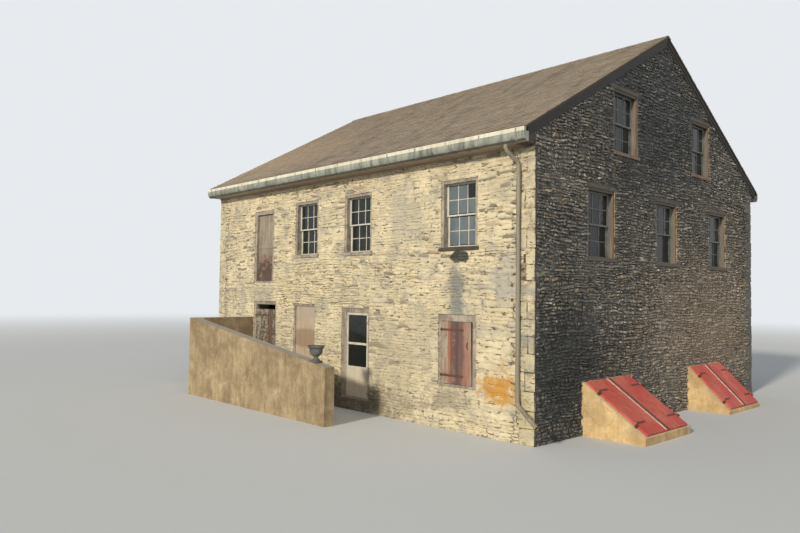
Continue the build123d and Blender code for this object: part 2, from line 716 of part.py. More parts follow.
# Areaway
def areaway_top(offset):
    """Height of the long areaway wall's raking top at an offset from the corner."""
    share = (offset - AREAWAY_NEAR) / (AREAWAY_FAR - AREAWAY_NEAR)
    return AREAWAY_NEAR_TOP + share * (AREAWAY_FAR_TOP - AREAWAY_NEAR_TOP)


def areaway_wall():
    """Long retaining wall parallel to the building."""
    near, far = X_END - AREAWAY_NEAR, X_END - AREAWAY_FAR
    outline = [(far, 0), (near, 0), (near, AREAWAY_NEAR_TOP), (far, AREAWAY_FAR_TOP)]
    outer = -Y_END - AREAWAY_INNER - AREAWAY_WALL
    return prism_y(outline, outer, outer + AREAWAY_WALL)


def areaway_return():
    """Short wall that joins the long one to the building."""
    far = X_END - AREAWAY_FAR
    return block((far, far + AREAWAY_RETURN), (-Y_END - AREAWAY_INNER, -Y_END), (0, AREAWAY_FAR_TOP))


def planter_urn():
    """Urn with a many-sided bowl, on a small plinth that levels the raking wall top."""
    x = X_END - URN_OFFSET
    y = -Y_END - AREAWAY_INNER - AREAWAY_WALL / 2
    half = URN_PLINTH / 2
    level = areaway_top(URN_OFFSET + half) + URN_PLINTH_RISE
    plinth = prism_y(
        [(x - half, areaway_top(URN_OFFSET + half)), (x + half, areaway_top(URN_OFFSET - half)),
         (x + half, level), (x - half, level)], y - half, y + half)
    stem_low, stem_high = URN_STEM_LEVELS
    turns = [pi / 2 * step / URN_BANDS for step in range(1, URN_BANDS + 1)]
    bowl = [(URN_STEM + (URN_BODY - URN_STEM) * sin(turn),
             URN_NECK_HEIGHT - (URN_NECK_HEIGHT - stem_high) * cos(turn)) for turn in turns]
    outer = fluted([(URN_FOOT, 0), (URN_FOOT, URN_FOOT_HEIGHT), (URN_STEM, stem_low), (URN_STEM, stem_high),
                    *bowl, (URN_RIM, URN_RIM_HEIGHT), (URN_RIM, URN_HEIGHT)])
    inner = fluted([(URN_SOIL, URN_SOIL_HEIGHT), (URN_BODY - URN_WALL, URN_NECK_HEIGHT),
                    (URN_RIM - 2 * URN_WALL, URN_HEIGHT)])
    return plinth + Pos(x, y, level) * (outer - inner)


def fluted(levels):
    """Upright many-sided body with flat sides, through pairs of a radius and a height."""
    turns = [2 * pi * step / URN_FLUTES for step in range(URN_FLUTES)]
    rings = [[Vector(radius * cos(turn), radius * sin(turn), height) for turn in turns]
             for radius, height in levels]
    sides = [[low[step - 1], low[step], high[step], high[step - 1]]
             for low, high in zip(rings, rings[1:]) for step in range(URN_FLUTES)]
    faces = [Face(Wire.make_polygon(corners)) for corners in (rings[0], rings[-1], *sides)]
    return Solid(Shell(faces))


# Cellar hatches
class Hatch:
    """Sloping hatch against the right gable: two cheeks, two sills and two hinged leaves."""

    def __init__(self, centre, width, top, reach, slope):
        self.y = centre - Y_END
        self.width = width
        self.top = top
        self.reach = reach
        self.angle = radians(slope)

    def plane_z(self, x, depth=0):
        """Height at x from the gable of the plane lying depth below the leaves' top."""
        return self.top - (x - HATCH_HEAD) * tan(self.angle) - depth / cos(self.angle)

    def wedge(self, y_low, y_high, depth):
        """Masonry between the wall, the base and the plane lying depth below the leaves' top."""
        foot_z = max(self.plane_z(self.reach, depth), HATCH_RIM_DROP)
        outline = [(X_END, 0), (X_END + self.reach, 0), (X_END + self.reach, foot_z),
                   (X_END, foot_z + self.reach * tan(self.angle))]
        return prism_y(outline, y_low, y_high)

    def seat_depth(self):
        """Depth of the seat that carries the leaves."""
        return HATCH_LEAF + SEAT

    def cheeks(self):
        """Side walls, with the brackets that hold the hinge pins."""
        low, high = self.y - self.width / 2, self.y + self.width / 2
        walls = [self.wedge(low, low + HATCH_CHEEK, self.seat_depth()),
                 self.wedge(high - HATCH_CHEEK, high, self.seat_depth())]
        for index, side in enumerate((-1, 1)):
            for share in HINGE_AT:
                z = side * -share * self.slope_length()
                bracket = pintle(z, -side, -HATCH_BRACKET - LEAF_GAP, -LEAF_GAP - PIN_CLEARANCE,
                                 -AXIS_RISE - self.seat_depth())
                walls[index] += self.hinge_frame(side) * bracket
        return walls

    def sills(self):
        """Head sill against the wall and foot sill at the low end, between the cheeks."""
        y = (self.y - self.width / 2 + HATCH_CHEEK, self.y + self.width / 2 - HATCH_CHEEK)
        head_x = X_END + HATCH_HEAD - HATCH_LEAF * sin(self.angle) - LEAF_GAP
        head = self.wedge(*y, 0) & block((X_END, head_x), y, (0, self.top))
        foot = self.wedge(*y, self.seat_depth()) & block(
            (X_END + self.reach - HATCH_SILL, X_END + self.reach), y, (0, self.top))
        return [head, foot]

    def slope_length(self):
        """Length of a leaf down the slope."""
        return (self.reach - HATCH_HEAD) / cos(self.angle)

    def hinge_frame(self, side):
        """Hinge frame at the leaf's outer top corner; side is -1 for the leaf nearer the front."""
        normal = (sin(self.angle), 0, cos(self.angle))
        down = (cos(self.angle), 0, -sin(self.angle))
        y = self.y + side * (self.width / 2 - HATCH_LEAF_INSET)
        origin = (X_END + HATCH_HEAD + AXIS_RISE * normal[0], y, self.top + AXIS_RISE * normal[2])
        z_dir = tuple(-side * value for value in down)
        return Plane(origin=origin, x_dir=(0, -side, 0), z_dir=z_dir).location

    def leaf(self, side):
        """Flat leaf with a bead along its meeting edge and two strap hinges."""
        run = self.slope_length()
        width = self.width / 2 - HATCH_LEAF_INSET - HATCH_MEETING_GAP / 2
        z = sorted((0, -side * run))
        leaf = block((0, width), (-AXIS_RISE - HATCH_LEAF, -AXIS_RISE), z)
        leaf += block((width - STRAP_WIDTH, width), (-AXIS_RISE, STRAP - AXIS_RISE), z)
        for share in HINGE_AT:
            leaf += strap_hinge(HATCH_STRAP, -side * share * run)
        return self.hinge_frame(side) * leaf


def build():
    """All nodes of the building: name to a solid or a list of solids."""
    nodes = dict(zip(
        ("front_wall_left_pier", "front_wall_middle_pier", "front_wall_door_pier", "front_wall_corner_pier"),
        front_piers()))
    upper_opening = (on_front(UPPER_DOOR_OFFSET, MAIN_FLOOR_TOP), UPPER_DOOR_WIDTH, UPPER_DOOR_HEIGHT)
    nodes["front_wall_upper"] = long_wall(-1, LOWER_WALL_TOP, front_windows() + [upper_opening])
    nodes["front_doorway_sills_and_lintels"] = door_breasts() + door_lintels()
    nodes["rear_wall"] = long_wall(1, 0, rear_windows())
    nodes["right_gable_wall"] = gable_wall(on_right, X_END - WALL, X_END)
    nodes["left_gable_wall"] = gable_wall(on_left, -X_END, WALL - X_END)
    nodes["ground_floor"] = floor(GROUND_SLAB, GROUND_SLAB)
    nodes["main_floor"] = floor(MAIN_FLOOR_TOP, MAIN_FLOOR_DEPTH)
    nodes["attic_floor"] = floor(ATTIC_FLOOR_TOP, ATTIC_FLOOR_DEPTH)
    for name, side in (("front", -1), ("rear", 1)):
        nodes[f"{name}_roof_deck"] = roof_layer(side, SHINGLE_UNDER, DECK_UNDER, CORNICE_REACH, 0)
        nodes[f"{name}_roof_shingles"] = roof_layer(side, ROOF_AT_WALL, SHINGLE_UNDER, EAVE_OVERHANG,
                                                    VERGE_OVERHANG)
        nodes[f"{name}_eave_cornice"] = cornice(side)
        nodes[f"{name}_gutter"] = gutter(side)
    nodes["bargeboards"] = [bargeboard(side, end) for side in (-1, 1) for end in (-1, 1)]
    nodes["front_downspout"] = downspout()
    gables = {"right_gable": gable_windows(on_right), "left_gable": gable_windows(on_left)}
    windows = {"front": front_windows(), "rear": rear_windows()} | gables
    for name, openings in windows.items():
        nodes |= window_nodes(name, openings)
    nodes["window_glass"] = [place * pane for openings in windows.values() for place, w, h in openings
                             for pane in sash_panes(w, h)]
    nodes["gable_window_lintels"] = [place * lintel(w, h) for openings in gables.values()
                                     for place, w, h in openings]
    nodes["upper_door_frame"] = upper_door_frame()
    nodes["upper_door"] = upper_door()
    nodes["boarded_opening_frame"] = boarded_frame()
    nodes["boarded_opening_panel"] = boarded_panel()
    nodes["areaway_door"], nodes["areaway_door_frame"] = left_hung_door(
        AREAWAY_DOOR_OFFSET, AREAWAY_DOOR_WIDTH, DOOR_SILL, AREAWAY_DOOR_HEIGHT,
        AREAWAY_DOOR_JAMB, AREAWAY_DOOR_JAMB, AREAWAY_DOOR_JAMB, AREAWAY_LEAF_DROP, (LEAF_GAP, LEAF_GAP))
    nodes["red_door"], nodes["red_door_frame"] = left_hung_door(
        RED_DOOR_OFFSET, RED_DOOR_WIDTH, RED_DOOR_SILL, RED_DOOR_HEIGHT,
        RED_DOOR_LEFT_JAMB, RED_DOOR_RIGHT_JAMB, RED_DOOR_HEAD_DEPTH, 0, SAG_GAPS)
    nodes["red_door"] += red_door_pull()
    nodes["storm_door"], nodes["storm_door_glass"], nodes["storm_door_frame"] = storm_door()
    nodes["areaway_wall"] = areaway_wall()
    nodes["areaway_return_wall"] = areaway_return()
    nodes["planter_urn"] = planter_urn()
    hatches = {
        "hatch_1": Hatch(HATCH_1_CENTRE, HATCH_1_WIDTH, HATCH_1_TOP, HATCH_1_REACH, HATCH_1_SLOPE),
        "hatch_2": Hatch(HATCH_2_CENTRE, HATCH_2_WIDTH, HATCH_2_TOP, HATCH_2_REACH, HATCH_2_SLOPE),
    }
    for name, hatch in hatches.items():
        nodes[f"{name}_cheeks"] = hatch.cheeks()
        nodes[f"{name}_sills"] = hatch.sills()
        nodes[f"{name}_left_leaf"] = hatch.leaf(-1)
        nodes[f"{name}_right_leaf"] = hatch.leaf(1)
    return nodes


os.makedirs("parts", exist_ok=True)
for node, shape in build().items():
    solids = [s for part in (shape if isinstance(shape, list) else [shape]) for s in part.solids()]
    export_step(solids[0] if len(solids) == 1 else Compound(children=solids), f"parts/{node}.step")
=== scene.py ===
"""Finishes and fine pieces of a rubble-stone mill house, dressed over its construction model."""

import json
import logging
import math
import random
from collections.abc import Iterable, Iterator, Mapping, Sequence
from dataclasses import dataclass, field
from enum import Enum

import bmesh
import bpy
from mathutils import Matrix, Vector, noise
from mathutils.bvhtree import BVHTree


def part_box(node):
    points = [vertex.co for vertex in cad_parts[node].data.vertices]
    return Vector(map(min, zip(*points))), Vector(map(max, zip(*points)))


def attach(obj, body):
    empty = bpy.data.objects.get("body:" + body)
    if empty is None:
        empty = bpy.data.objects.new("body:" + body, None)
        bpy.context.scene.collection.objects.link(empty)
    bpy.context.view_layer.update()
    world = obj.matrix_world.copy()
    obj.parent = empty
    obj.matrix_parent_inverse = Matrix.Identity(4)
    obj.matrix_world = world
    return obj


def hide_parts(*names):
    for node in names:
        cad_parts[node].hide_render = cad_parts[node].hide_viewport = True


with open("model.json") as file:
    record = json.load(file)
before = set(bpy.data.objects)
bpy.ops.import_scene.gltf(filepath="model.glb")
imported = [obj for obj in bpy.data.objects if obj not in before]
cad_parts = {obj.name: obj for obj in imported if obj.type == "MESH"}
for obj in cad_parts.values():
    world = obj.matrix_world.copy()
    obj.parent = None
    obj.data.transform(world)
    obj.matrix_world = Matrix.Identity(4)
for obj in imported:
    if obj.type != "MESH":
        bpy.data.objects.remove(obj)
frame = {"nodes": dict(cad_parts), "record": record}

log = logging.getLogger("mill_house")

Colour = tuple[float, float, float]
Triple = tuple[float, float, float]
Point = tuple[float, float]
Stops = tuple[tuple[float, Colour], ...]

BUILDING = "building"
UP = Vector((0.0, 0.0, 1.0))
FRONTWARD = Vector((0.0, -1.0, 0.0))
REARWARD = Vector((0.0, 1.0, 0.0))
RIGHTWARD = Vector((1.0, 0.0, 0.0))
LEFTWARD = Vector((-1.0, 0.0, 0.0))
HATCH_SLOPE = Vector((0.6, 0.0, 0.8))


class Slot(Enum):
    """Material slots of the record, passed along with new pieces."""

    LIMEWASHED = "limewashed_rubble"
    SCHIST = "schist_rubble"
    SHINGLES = "shingles"
    GUTTER = "gutter_metal"
    PIPE = "downspout_metal"
    WHITE_SASH = "white_sash"
    GREY_SASH = "grey_sash"
    GLASS = "window_glass"
    GREY_BOARDS = "grey_boards"
    TAUPE_BOARDS = "taupe_boards"
    PEELING_BOARDS = "peeling_boards"
    RED_BOARDS = "red_boards"
    RED_STEEL = "red_steel"
    URN = "urn_stone"


class Axis(Enum):
    """Direction in which the grain of a board runs."""

    X = (1.0, 0.0, 0.0)
    Y = (0.0, 1.0, 0.0)
    Z = (0.0, 0.0, 1.0)


# Reading the frame


@dataclass(frozen=True)
class Box:
    """An upright box between its lowest and highest corner, in metres."""

    low: Vector
    high: Vector

    @property
    def size(self) -> Vector:
        """Extent along each axis."""
        return self.high - self.low

    @property
    def centre(self) -> Vector:
        """Middle of the box."""
        return (self.low + self.high) / 2


def node_box(name: str) -> Box:
    """Gives the box of a construction node at rest.

    Args:
        name: Name of the node.

    Returns:
        The node's box.
    """
    low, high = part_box(name)
    return Box(Vector(low), Vector(high))


def corner_key(point: Vector) -> tuple[int, int, int]:
    """Rounds a point to a tenth of a millimetre so that equal corners meet."""
    return tuple(round(value * 10000) for value in point)


def loose_parts(name: str) -> list[Box]:
    """Splits a node into the solids that don't touch each other.

    Args:
        name: Name of the node.

    Returns:
        One box for each solid, sorted by X, then Y, then Z.
    """
    mesh = frame["nodes"][name].data
    parent: dict[tuple[int, int, int], tuple[int, int, int]] = {}

    def root(key: tuple[int, int, int]) -> tuple[int, int, int]:
        """Follows a corner to the head of its group."""
        while parent[key] != key:
            parent[key] = parent[parent[key]]
            key = parent[key]
        return key

    keys = [corner_key(vertex.co) for vertex in mesh.vertices]
    for key in keys:
        parent.setdefault(key, key)
    for polygon in mesh.polygons:
        first = root(keys[polygon.vertices[0]])
        for index in polygon.vertices[1:]:
            parent[root(keys[index])] = first
    groups: dict[tuple[int, int, int], list[Vector]] = {}
    for key, vertex in zip(keys, mesh.vertices):
        groups.setdefault(root(key), []).append(vertex.co)
    boxes = [bounding_box(points) for points in groups.values()]
    return sorted(boxes, key=lambda box: tuple(round(value, 2) for value in box.centre))


def bounding_box(points: Sequence[Vector]) -> Box:
    """Gives the box round some points."""
    low = Vector([min(point[axis] for point in points) for axis in range(3)])
    high = Vector([max(point[axis] for point in points) for axis in range(3)])
    return Box(low, high)


def surface_tree(*names: str) -> BVHTree:
    """Builds a search tree over the faces of some nodes, for finding where a line meets them.

    Args:
        *names: Names of the nodes.

    Returns:
        The tree, in the shared frame at rest.
    """
    vertices: list[Vector] = []
    faces: list[tuple[int, ...]] = []
    for name in names:
        mesh = frame["nodes"][name].data
        start = len(vertices)
        vertices.extend(vertex.co.copy() for vertex in mesh.vertices)
        faces.extend(tuple(start + index for index in polygon.vertices) for polygon in mesh.polygons)
    return BVHTree.FromPolygons(vertices, faces)


@dataclass(frozen=True)
class FlatFace:
    """All faces of a node that lie in one plane."""

    normal: Vector
    offset: float
    area: float
    polygons: tuple[tuple[Vector, ...], ...]

    @property
    def points(self) -> list[Vector]:
        """Corners of every face in the plane."""
        return [point for polygon in self.polygons for point in polygon]

    def lift(self, x: float, y: float) -> Vector:
        """Gives the point of the plane above or below a place on the ground."""
        z = (self.offset - self.normal.x * x - self.normal.y * y) / self.normal.z
        return Vector((x, y, z))


def flat_faces(name: str, direction: Vector, closeness: float = 0.98) -> list[FlatFace]:
    """Finds the planes of a node that face one way.

    Args:
        name: Name of the node.
        direction: Direction that the faces look towards.
        closeness: Least cosine between a face's normal and that direction.

    Returns:
        The planes, the largest first.
    """
    mesh = frame["nodes"][name].data
    aim = direction.normalized()
    planes: dict[tuple[int, ...], list[bpy.types.MeshPolygon]] = {}
    for polygon in mesh.polygons:
        if polygon.normal.dot(aim) > closeness:
            distance = polygon.normal.dot(polygon.center)
            key = (*(round(value * 50) for value in polygon.normal), round(distance * 1000))
            planes.setdefault(key, []).append(polygon)
    faces = []
    for members in planes.values():
        normal = members[0].normal.copy()
        corners = tuple(
            tuple(mesh.vertices[index].co.copy() for index in polygon.vertices) for polygon in members)
        area = sum(polygon.area for polygon in members)
        faces.append(FlatFace(normal, normal.dot(members[0].center), area, corners))
    return sorted(faces, key=lambda face: -face.area)


# Making meshes


@dataclass
class MeshMaker:
    """Collects faces with two values at each point, and makes one object of them.

    The tone tells one stone or board from the next. The rim is 0 at an edge and 1 inside it.
    """

    vertices: list[Vector] = field(default_factory=list)
    faces: list[tuple[int, ...]] = field(default_factory=list)
    tones: list[float] = field(default_factory=list)
    rims: list[float] = field(default_factory=list)

    def add(self, points: Iterable[Vector], faces: Iterable[Sequence[int]], tone: float = 0.5,
            rims: Sequence[float] | None = None) -> None:
        """Adds some points and the faces between them.

        Args:
            points: Corners, in metres.
            faces: Index lists into those corners.
            tone: Tone of the whole patch.
            rims: Rim value of each corner, or None for 1 all over.
        """
        start = len(self.vertices)
        fresh = list(points)
        self.vertices.extend(fresh)
        self.faces.extend(tuple(start + index for index in face) for face in faces)
        self.tones.extend([tone] * len(fresh))
        self.rims.extend(rims if rims is not None else [1.0] * len(fresh))

    def bar(self, start: Vector, end: Vector, width: float, depth: float, outward: Vector,
            bevel: float = 0.0, tone: float = 0.5) -> None:
        """Adds a straight bar with its back on the line between two points.

        Args:
            start: Middle of the back at one end.
            end: Middle of the back at the other end.
            width: Size across the bar.
            depth: Size from the back to the front.
            outward: Direction of the front.
            bevel: Size of the cut along the two front edges.
            tone: Tone of the bar.
        """
        side = (end - start).cross(outward).normalized() * (width / 2)
        front = outward.normalized()
        inner = side * (1 - 2 * bevel / width) if bevel else side
        profile = [-side, -side + front * (depth - bevel), -inner + front * depth,
                   inner + front * depth, side + front * (depth - bevel), side]
        if not bevel:
            profile = [-side, -side + front * depth, side + front * depth, side]
        self.extrude(start, end, profile, tone)

    def extrude(self, start: Vector, end: Vector, profile: Sequence[Vector], tone: float = 0.5) -> None:
        """Adds a prism between two points from the profile round its line.

        Args:
            start: Point that the first profile lies round.
            end: Point that the last profile lies round.
            profile: Offsets of the profile's corners from the line.
            tone: Tone of the prism.
        """
        count = len(profile)
        points = [start + offset for offset in profile] + [end + offset for offset in profile]
        sides = [(index, (index + 1) % count, count + (index + 1) % count, count + index)
                 for index in range(count)]
        ends = [tuple(range(count))[::-1], tuple(range(count, 2 * count))]
        self.add(points, sides + ends, tone)

    def block(self, box: Box, bevel: float, tone: float = 0.5, shake: float = 0.0,
              chance: random.Random | None = None) -> None:
        """Adds an upright block with cut edges and slightly uneven corners.

        Args:
            box: The block's box.
            bevel: Size of the cut along its edges.
            tone: Tone of the block.
            shake: Largest move of a corner.
            chance: Source of the corner moves, or None for a true block.
        """
        corners = []
        rims = []
        for index in range(8):
            pick = [box.high[axis] if index >> axis & 1 else box.low[axis] for axis in range(3)]
            inward = [(-1.0 if index >> axis & 1 else 1.0) for axis in range(3)]
            wobble = Vector([chance.uniform(-shake, shake) if chance else 0.0 for _ in range(3)])
            for axis in range(3):
                cut = [0.0 if other == axis else bevel * inward[other] for other in range(3)]
                corners.append(Vector(pick) + Vector(cut) + wobble)
                rims.append(0.45)
        faces = []
        for axis in range(3):
            first, second = [other for other in range(3) if other != axis]
            for side in (0, 1):
                ring = [side << axis | a << first | b << second for a, b in ((0, 0), (1, 0), (1, 1), (0, 1))]
                faces.append(tuple(3 * corner + axis for corner in ring))
        for axis in range(3):
            first, second = [other for other in range(3) if other != axis]
            for a in (0, 1):
                for b in (0, 1):
                    one = a << first | b << second
                    two = one | 1 << axis
                    faces.append((3 * one + first, 3 * two + first, 3 * two + second, 3 * one + second))
        faces.extend((3 * index, 3 * index + 1, 3 * index + 2) for index in range(8))
        self.add(corners, faces, tone, rims)

    def sweep(self, path: Sequence[Vector], radius: float, sides: int = 8, tone: float = 0.5) -> None:
        """Adds a round bar along some points.

        Args:
            path: Points along the middle of the bar.
            radius: Radius of the bar.
            sides: Number of sides.
            tone: Tone of the bar.
        """
        points: list[Vector] = []
        for index, place in enumerate(path):
            ahead = path[min(index + 1, len(path) - 1)] - path[max(index - 1, 0)]
            across = ahead.orthogonal().normalized()
            over = ahead.cross(across).normalized()
            for step in range(sides):
                angle = 2 * math.pi * step / sides
                points.append(place + (across * math.cos(angle) + over * math.sin(angle)) * radius)
        faces = [(row * sides + step, row * sides + (step + 1) % sides,
                  (row + 1) * sides + (step + 1) % sides, (row + 1) * sides + step)
                 for row in range(len(path) - 1) for step in range(sides)]
        faces.append(tuple(range(sides))[::-1])
        faces.append(tuple(range((len(path) - 1) * sides, len(path) * sides)))
        self.add(points, faces, tone)

    def make(self, name: str, finish: "Finish", body: str, slot: Slot,
             smooth: bool = False) -> bpy.types.Object:
        """Turns what was collected into an object that rides on a body.

        Args:
            name: Name of the piece.
            finish: Its finish.
            body: Body that carries it.
            slot: Record slot that the finish belongs to; not used.
            smooth: Whether its faces are shaded as one rounded surface.

        Returns:
            The new object.
        """
        mesh = bpy.data.meshes.new(name)
        mesh.from_pydata(self.vertices, [], self.faces)
        mesh.validate()
        for label, values in (("tone", self.tones), ("rim", self.rims)):
            layer = mesh.attributes.new(label, "FLOAT", "POINT")
            layer.data.foreach_set("value", values)
        mesh.polygons.foreach_set("use_smooth", [smooth] * len(mesh.polygons))
        mesh.materials.append(finish.material())
        mesh.update()
        piece = add_object(name, mesh)
        outward_faces(mesh)
        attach(piece, body)
        triangles = sum(len(polygon.vertices) - 2 for polygon in mesh.polygons)
        log.info("%s: %d triangles", name, triangles)
        return piece


def add_object(name: str, data: bpy.types.ID) -> bpy.types.Object:
    """Adds an object with some data to the scene."""
    made = bpy.data.objects.new(name, data)
    bpy.context.scene.collection.objects.link(made)
    return made


def outward_faces(mesh: bpy.types.Mesh) -> None:
    """Turns the faces of closed shells outwards."""
    work = bmesh.new()
    work.from_mesh(mesh)
    bmesh.ops.recalc_face_normals(work, faces=work.faces)
    work.to_mesh(mesh)
    work.free()


# Shader sheets and shared effects


class NodeSheet:
    """Adds shader nodes to one tree and links them."""

    def __init__(self, tree: bpy.types.NodeTree) -> None:
        """Keeps the tree and empties it.

        Args:
            tree: Node tree of a material or a group.
        """
        self.tree = tree
        self.tree.nodes.clear()

    def node(self, kind: str, **settings: object) -> bpy.types.Node:
        """Adds a node and sets its plain properties.

        Args:
            kind: Blender's name of the node type.
            **settings: Properties of the node.

        Returns:
            The node.
        """
        made = self.tree.nodes.new(kind)
        for key, value in settings.items():
            setattr(made, key, value)
        return made

    def feed(self, socket: bpy.types.NodeSocket, value: object) -> None:
        """Links a socket to another, or writes a plain value into it.

        Args:
            socket: Input to feed.
            value: Output socket, number, colour or vector.
        """
        if isinstance(value, bpy.types.NodeSocket):
            self.tree.links.new(value, socket)
            return
        if socket.type == "RGBA" and not isinstance(value, (int, float)):
            value = (*value, 1.0) if len(value) == 3 else value
        socket.default_value = value

    def fill(self, made: bpy.types.Node, **values: object) -> bpy.types.NodeOutputs:
        """Feeds inputs of a node by name.

        Args:
            made: The node.
            **values: Values or sockets for its inputs, with underscores for spaces.

        Returns:
            The node's outputs.
        """
        for key, value in values.items():
            self.feed(made.inputs[key.replace("_", " ")], value)
        return made.outputs

    def maths(self, operation: str, first: object, second: object = 0.0) -> bpy.types.NodeSocket:
        """Adds a Math node.

        Args:
            operation: Name of the sum.
            first: First value.
            second: Second value.

        Returns:
            The result.
        """
        made = self.node("ShaderNodeMath", operation=operation)
        self.feed(made.inputs[0], first)
        self.feed(made.inputs[1], second)
        return made.outputs[0]

    def times(self, first: object, second: object) -> bpy.types.NodeSocket:
        """Multiplies two values."""
        return self.maths("MULTIPLY", first, second)

    def plus(self, first: object, second: object) -> bpy.types.NodeSocket:
        """Adds two values."""
        return self.maths("ADD", first, second)

    def minus(self, first: object, second: object) -> bpy.types.NodeSocket:
        """Takes the second value from the first."""
        return self.maths("SUBTRACT", first, second)

    def vector(self, operation: str, first: object, second: object = (0.0, 0.0, 0.0),
               scale: object = None) -> bpy.types.NodeSocket:
        """Adds a Vector Math node.

        Args:
            operation: Name of the sum.
            first: First vector.
            second: Second vector.
            scale: Factor of a Scale sum, or None.

        Returns:
            The result, a number for a length or a dot product.
        """
        made = self.node("ShaderNodeVectorMath", operation=operation)
        self.feed(made.inputs[0], first)
        if operation not in ("SCALE", "LENGTH"):
            self.feed(made.inputs[1], second)
        if scale is not None:
            self.feed(made.inputs["Scale"], scale)
        return made.outputs["Value" if operation in ("LENGTH", "DOT_PRODUCT") else "Vector"]

    def noise(self, vector: object, scale: object, detail: float = 4.0, rough: float = 0.55,
              distortion: float = 0.0) -> bpy.types.NodeSocket:
        """Adds a Noise Texture.

        Args:
            vector: Place that it reads.
            scale: Waves per metre.
            detail: Number of finer layers.
            rough: Strength of the finer layers.
            distortion: Amount of swirl.

        Returns:
            The noise value.
        """
        return self.fill(self.node("ShaderNodeTexNoise"), Vector=vector, Scale=scale, Detail=detail,
                         Roughness=rough, Distortion=distortion)["Fac"]

    def remap(self, value: object, low: object, high: object, to_low: float = 0.0,
              to_high: float = 1.0) -> bpy.types.NodeSocket:
        """Adds a smooth Map Range node.

        Args:
            value: Value to map.
            low: Value that becomes to_low.
            high: Value that becomes to_high.
            to_low: Lowest result.
            to_high: Highest result.

        Returns:
            The mapped value.
        """
        made = self.node("ShaderNodeMapRange", interpolation_type="SMOOTHSTEP")
        return self.fill(made, Value=value, From_Min=low, From_Max=high, To_Min=to_low,
                         To_Max=to_high)["Result"]

    def ramp(self, value: object, stops: Stops, stepped: bool = False) -> bpy.types.NodeSocket:
        """Adds a Color Ramp.

        Args:
            value: Value that picks the colour.
            stops: Places and colours.
            stepped: Whether the colours change without a blend.

        Returns:
            The colour.
        """
        made = self.node("ShaderNodeValToRGB")
        band = made.color_ramp
        band.interpolation = "CONSTANT" if stepped else "LINEAR"
        while len(band.elements) < len(stops):
            band.elements.new(1.0)
        for element, (place, colour) in zip(band.elements, stops):
            element.position = place
            element.color = (*colour, 1.0)
        return self.fill(made, Fac=value)["Color"]

    def mix(self, factor: object, first: object, second: object,
            blend: str = "MIX") -> bpy.types.NodeSocket:
        """Mixes two colours.

        Args:
            factor: Share of the second colour.
            first: First colour.
            second: Second colour.
            blend: Name of the blend mode.

        Returns:
            The mixed colour.
        """
        made = self.node("ShaderNodeMix", data_type="RGBA", blend_type=blend, clamp_factor=True)
        return self.fill(made, Factor=factor, A=first, B=second)["Result"]

    def grey(self, value: object) -> bpy.types.NodeSocket:
        """Turns a brightness into a grey."""
        return self.fill(self.node("ShaderNodeCombineColor"), Red=value, Green=value, Blue=value)["Color"]

    def axis(self, vector: object, name: str) -> bpy.types.NodeSocket:
        """Takes the X, Y or Z of a vector."""
        return self.fill(self.node("ShaderNodeSeparateXYZ"), Vector=vector)[name]

    def bump(self, height: object, distance: float) -> bpy.types.NodeSocket:
        """Adds a Bump node.

        Args:
            height: Height over the surface, 0 to 1.
            distance: Real height of 1, in metres.

        Returns:
            The bumped normal.
        """
        return self.fill(self.node("ShaderNodeBump"), Height=height, Distance=distance,
                         Strength=1.0)["Normal"]

    def place(self) -> bpy.types.NodeSocket:
        """Gives the place on the object, in metres."""
        return self.node("ShaderNodeTexCoord").outputs["Object"]

    def facing(self, name: str) -> bpy.types.NodeSocket:
        """Gives how far the surface faces along X, Y or Z, from -1 to 1."""
        return self.axis(self.node("ShaderNodeTexCoord").outputs["Normal"], name)

    def facing_front(self) -> bpy.types.NodeSocket:
        """Gives 1 where the surface faces the front of the house and 0 where it faces a side."""
        return self.remap(self.facing("Y"), -0.35, -0.7)

    def group(self, effect: "Effect", **values: object) -> bpy.types.NodeOutputs:
        """Places a shared effect.

        Args:
            effect: The effect.
            **values: Values or sockets for its inputs, with underscores for spaces.

        Returns:
            The effect's outputs.
        """
        return self.fill(self.node("ShaderNodeGroup", node_tree=effect.tree()), **values)

    def surface(self, colour: object, roughness: object, normal: object, **constants: object) -> None:
        """Adds the Principled shader and the output.

        Args:
            colour: Base colour.
            roughness: Roughness.
            normal: Normal.
            **constants: Other sockets of the shader, with underscores for spaces.
        """
        shader = self.fill(self.node("ShaderNodeBsdfPrincipled"), Base_Color=colour, Roughness=roughness,
                           Normal=normal, **constants)
        self.fill(self.node("ShaderNodeOutputMaterial"), Surface=shader["BSDF"])


class Effect:
    """A shader node group that several materials share, built once. Its outputs are numbers."""

    title = "effect"
    inputs: Mapping[str, object] = {}
    outputs: tuple[str, ...] = ()

    def tree(self) -> bpy.types.NodeTree:
        """Gives the group, building it on first use."""
        made = bpy.data.node_groups.get(self.title)
        if made:
            return made
        made = bpy.data.node_groups.new(self.title, "ShaderNodeTree")
        sheet = NodeSheet(made)
        for name, default in self.inputs.items():
            kind = "NodeSocketFloat" if isinstance(default, float) else "NodeSocketVector"
            made.interface.new_socket(name, in_out="INPUT", socket_type=kind).default_value = default
        for name in self.outputs:
            made.interface.new_socket(name, in_out="OUTPUT", socket_type="NodeSocketFloat")
        results = self.wire(sheet, sheet.node("NodeGroupInput").outputs)
        sheet.fill(sheet.node("NodeGroupOutput"), **dict(zip(self.outputs, results)))
        return made

    def wire(self, sheet: NodeSheet, given: bpy.types.NodeOutputs) -> Sequence[bpy.types.NodeSocket]:
        """Builds the inside of the group.

        Args:
            sheet: Sheet over the group's tree.
            given: The group's inputs.

        Returns:
            One socket for each output.
        """
        raise NotImplementedError


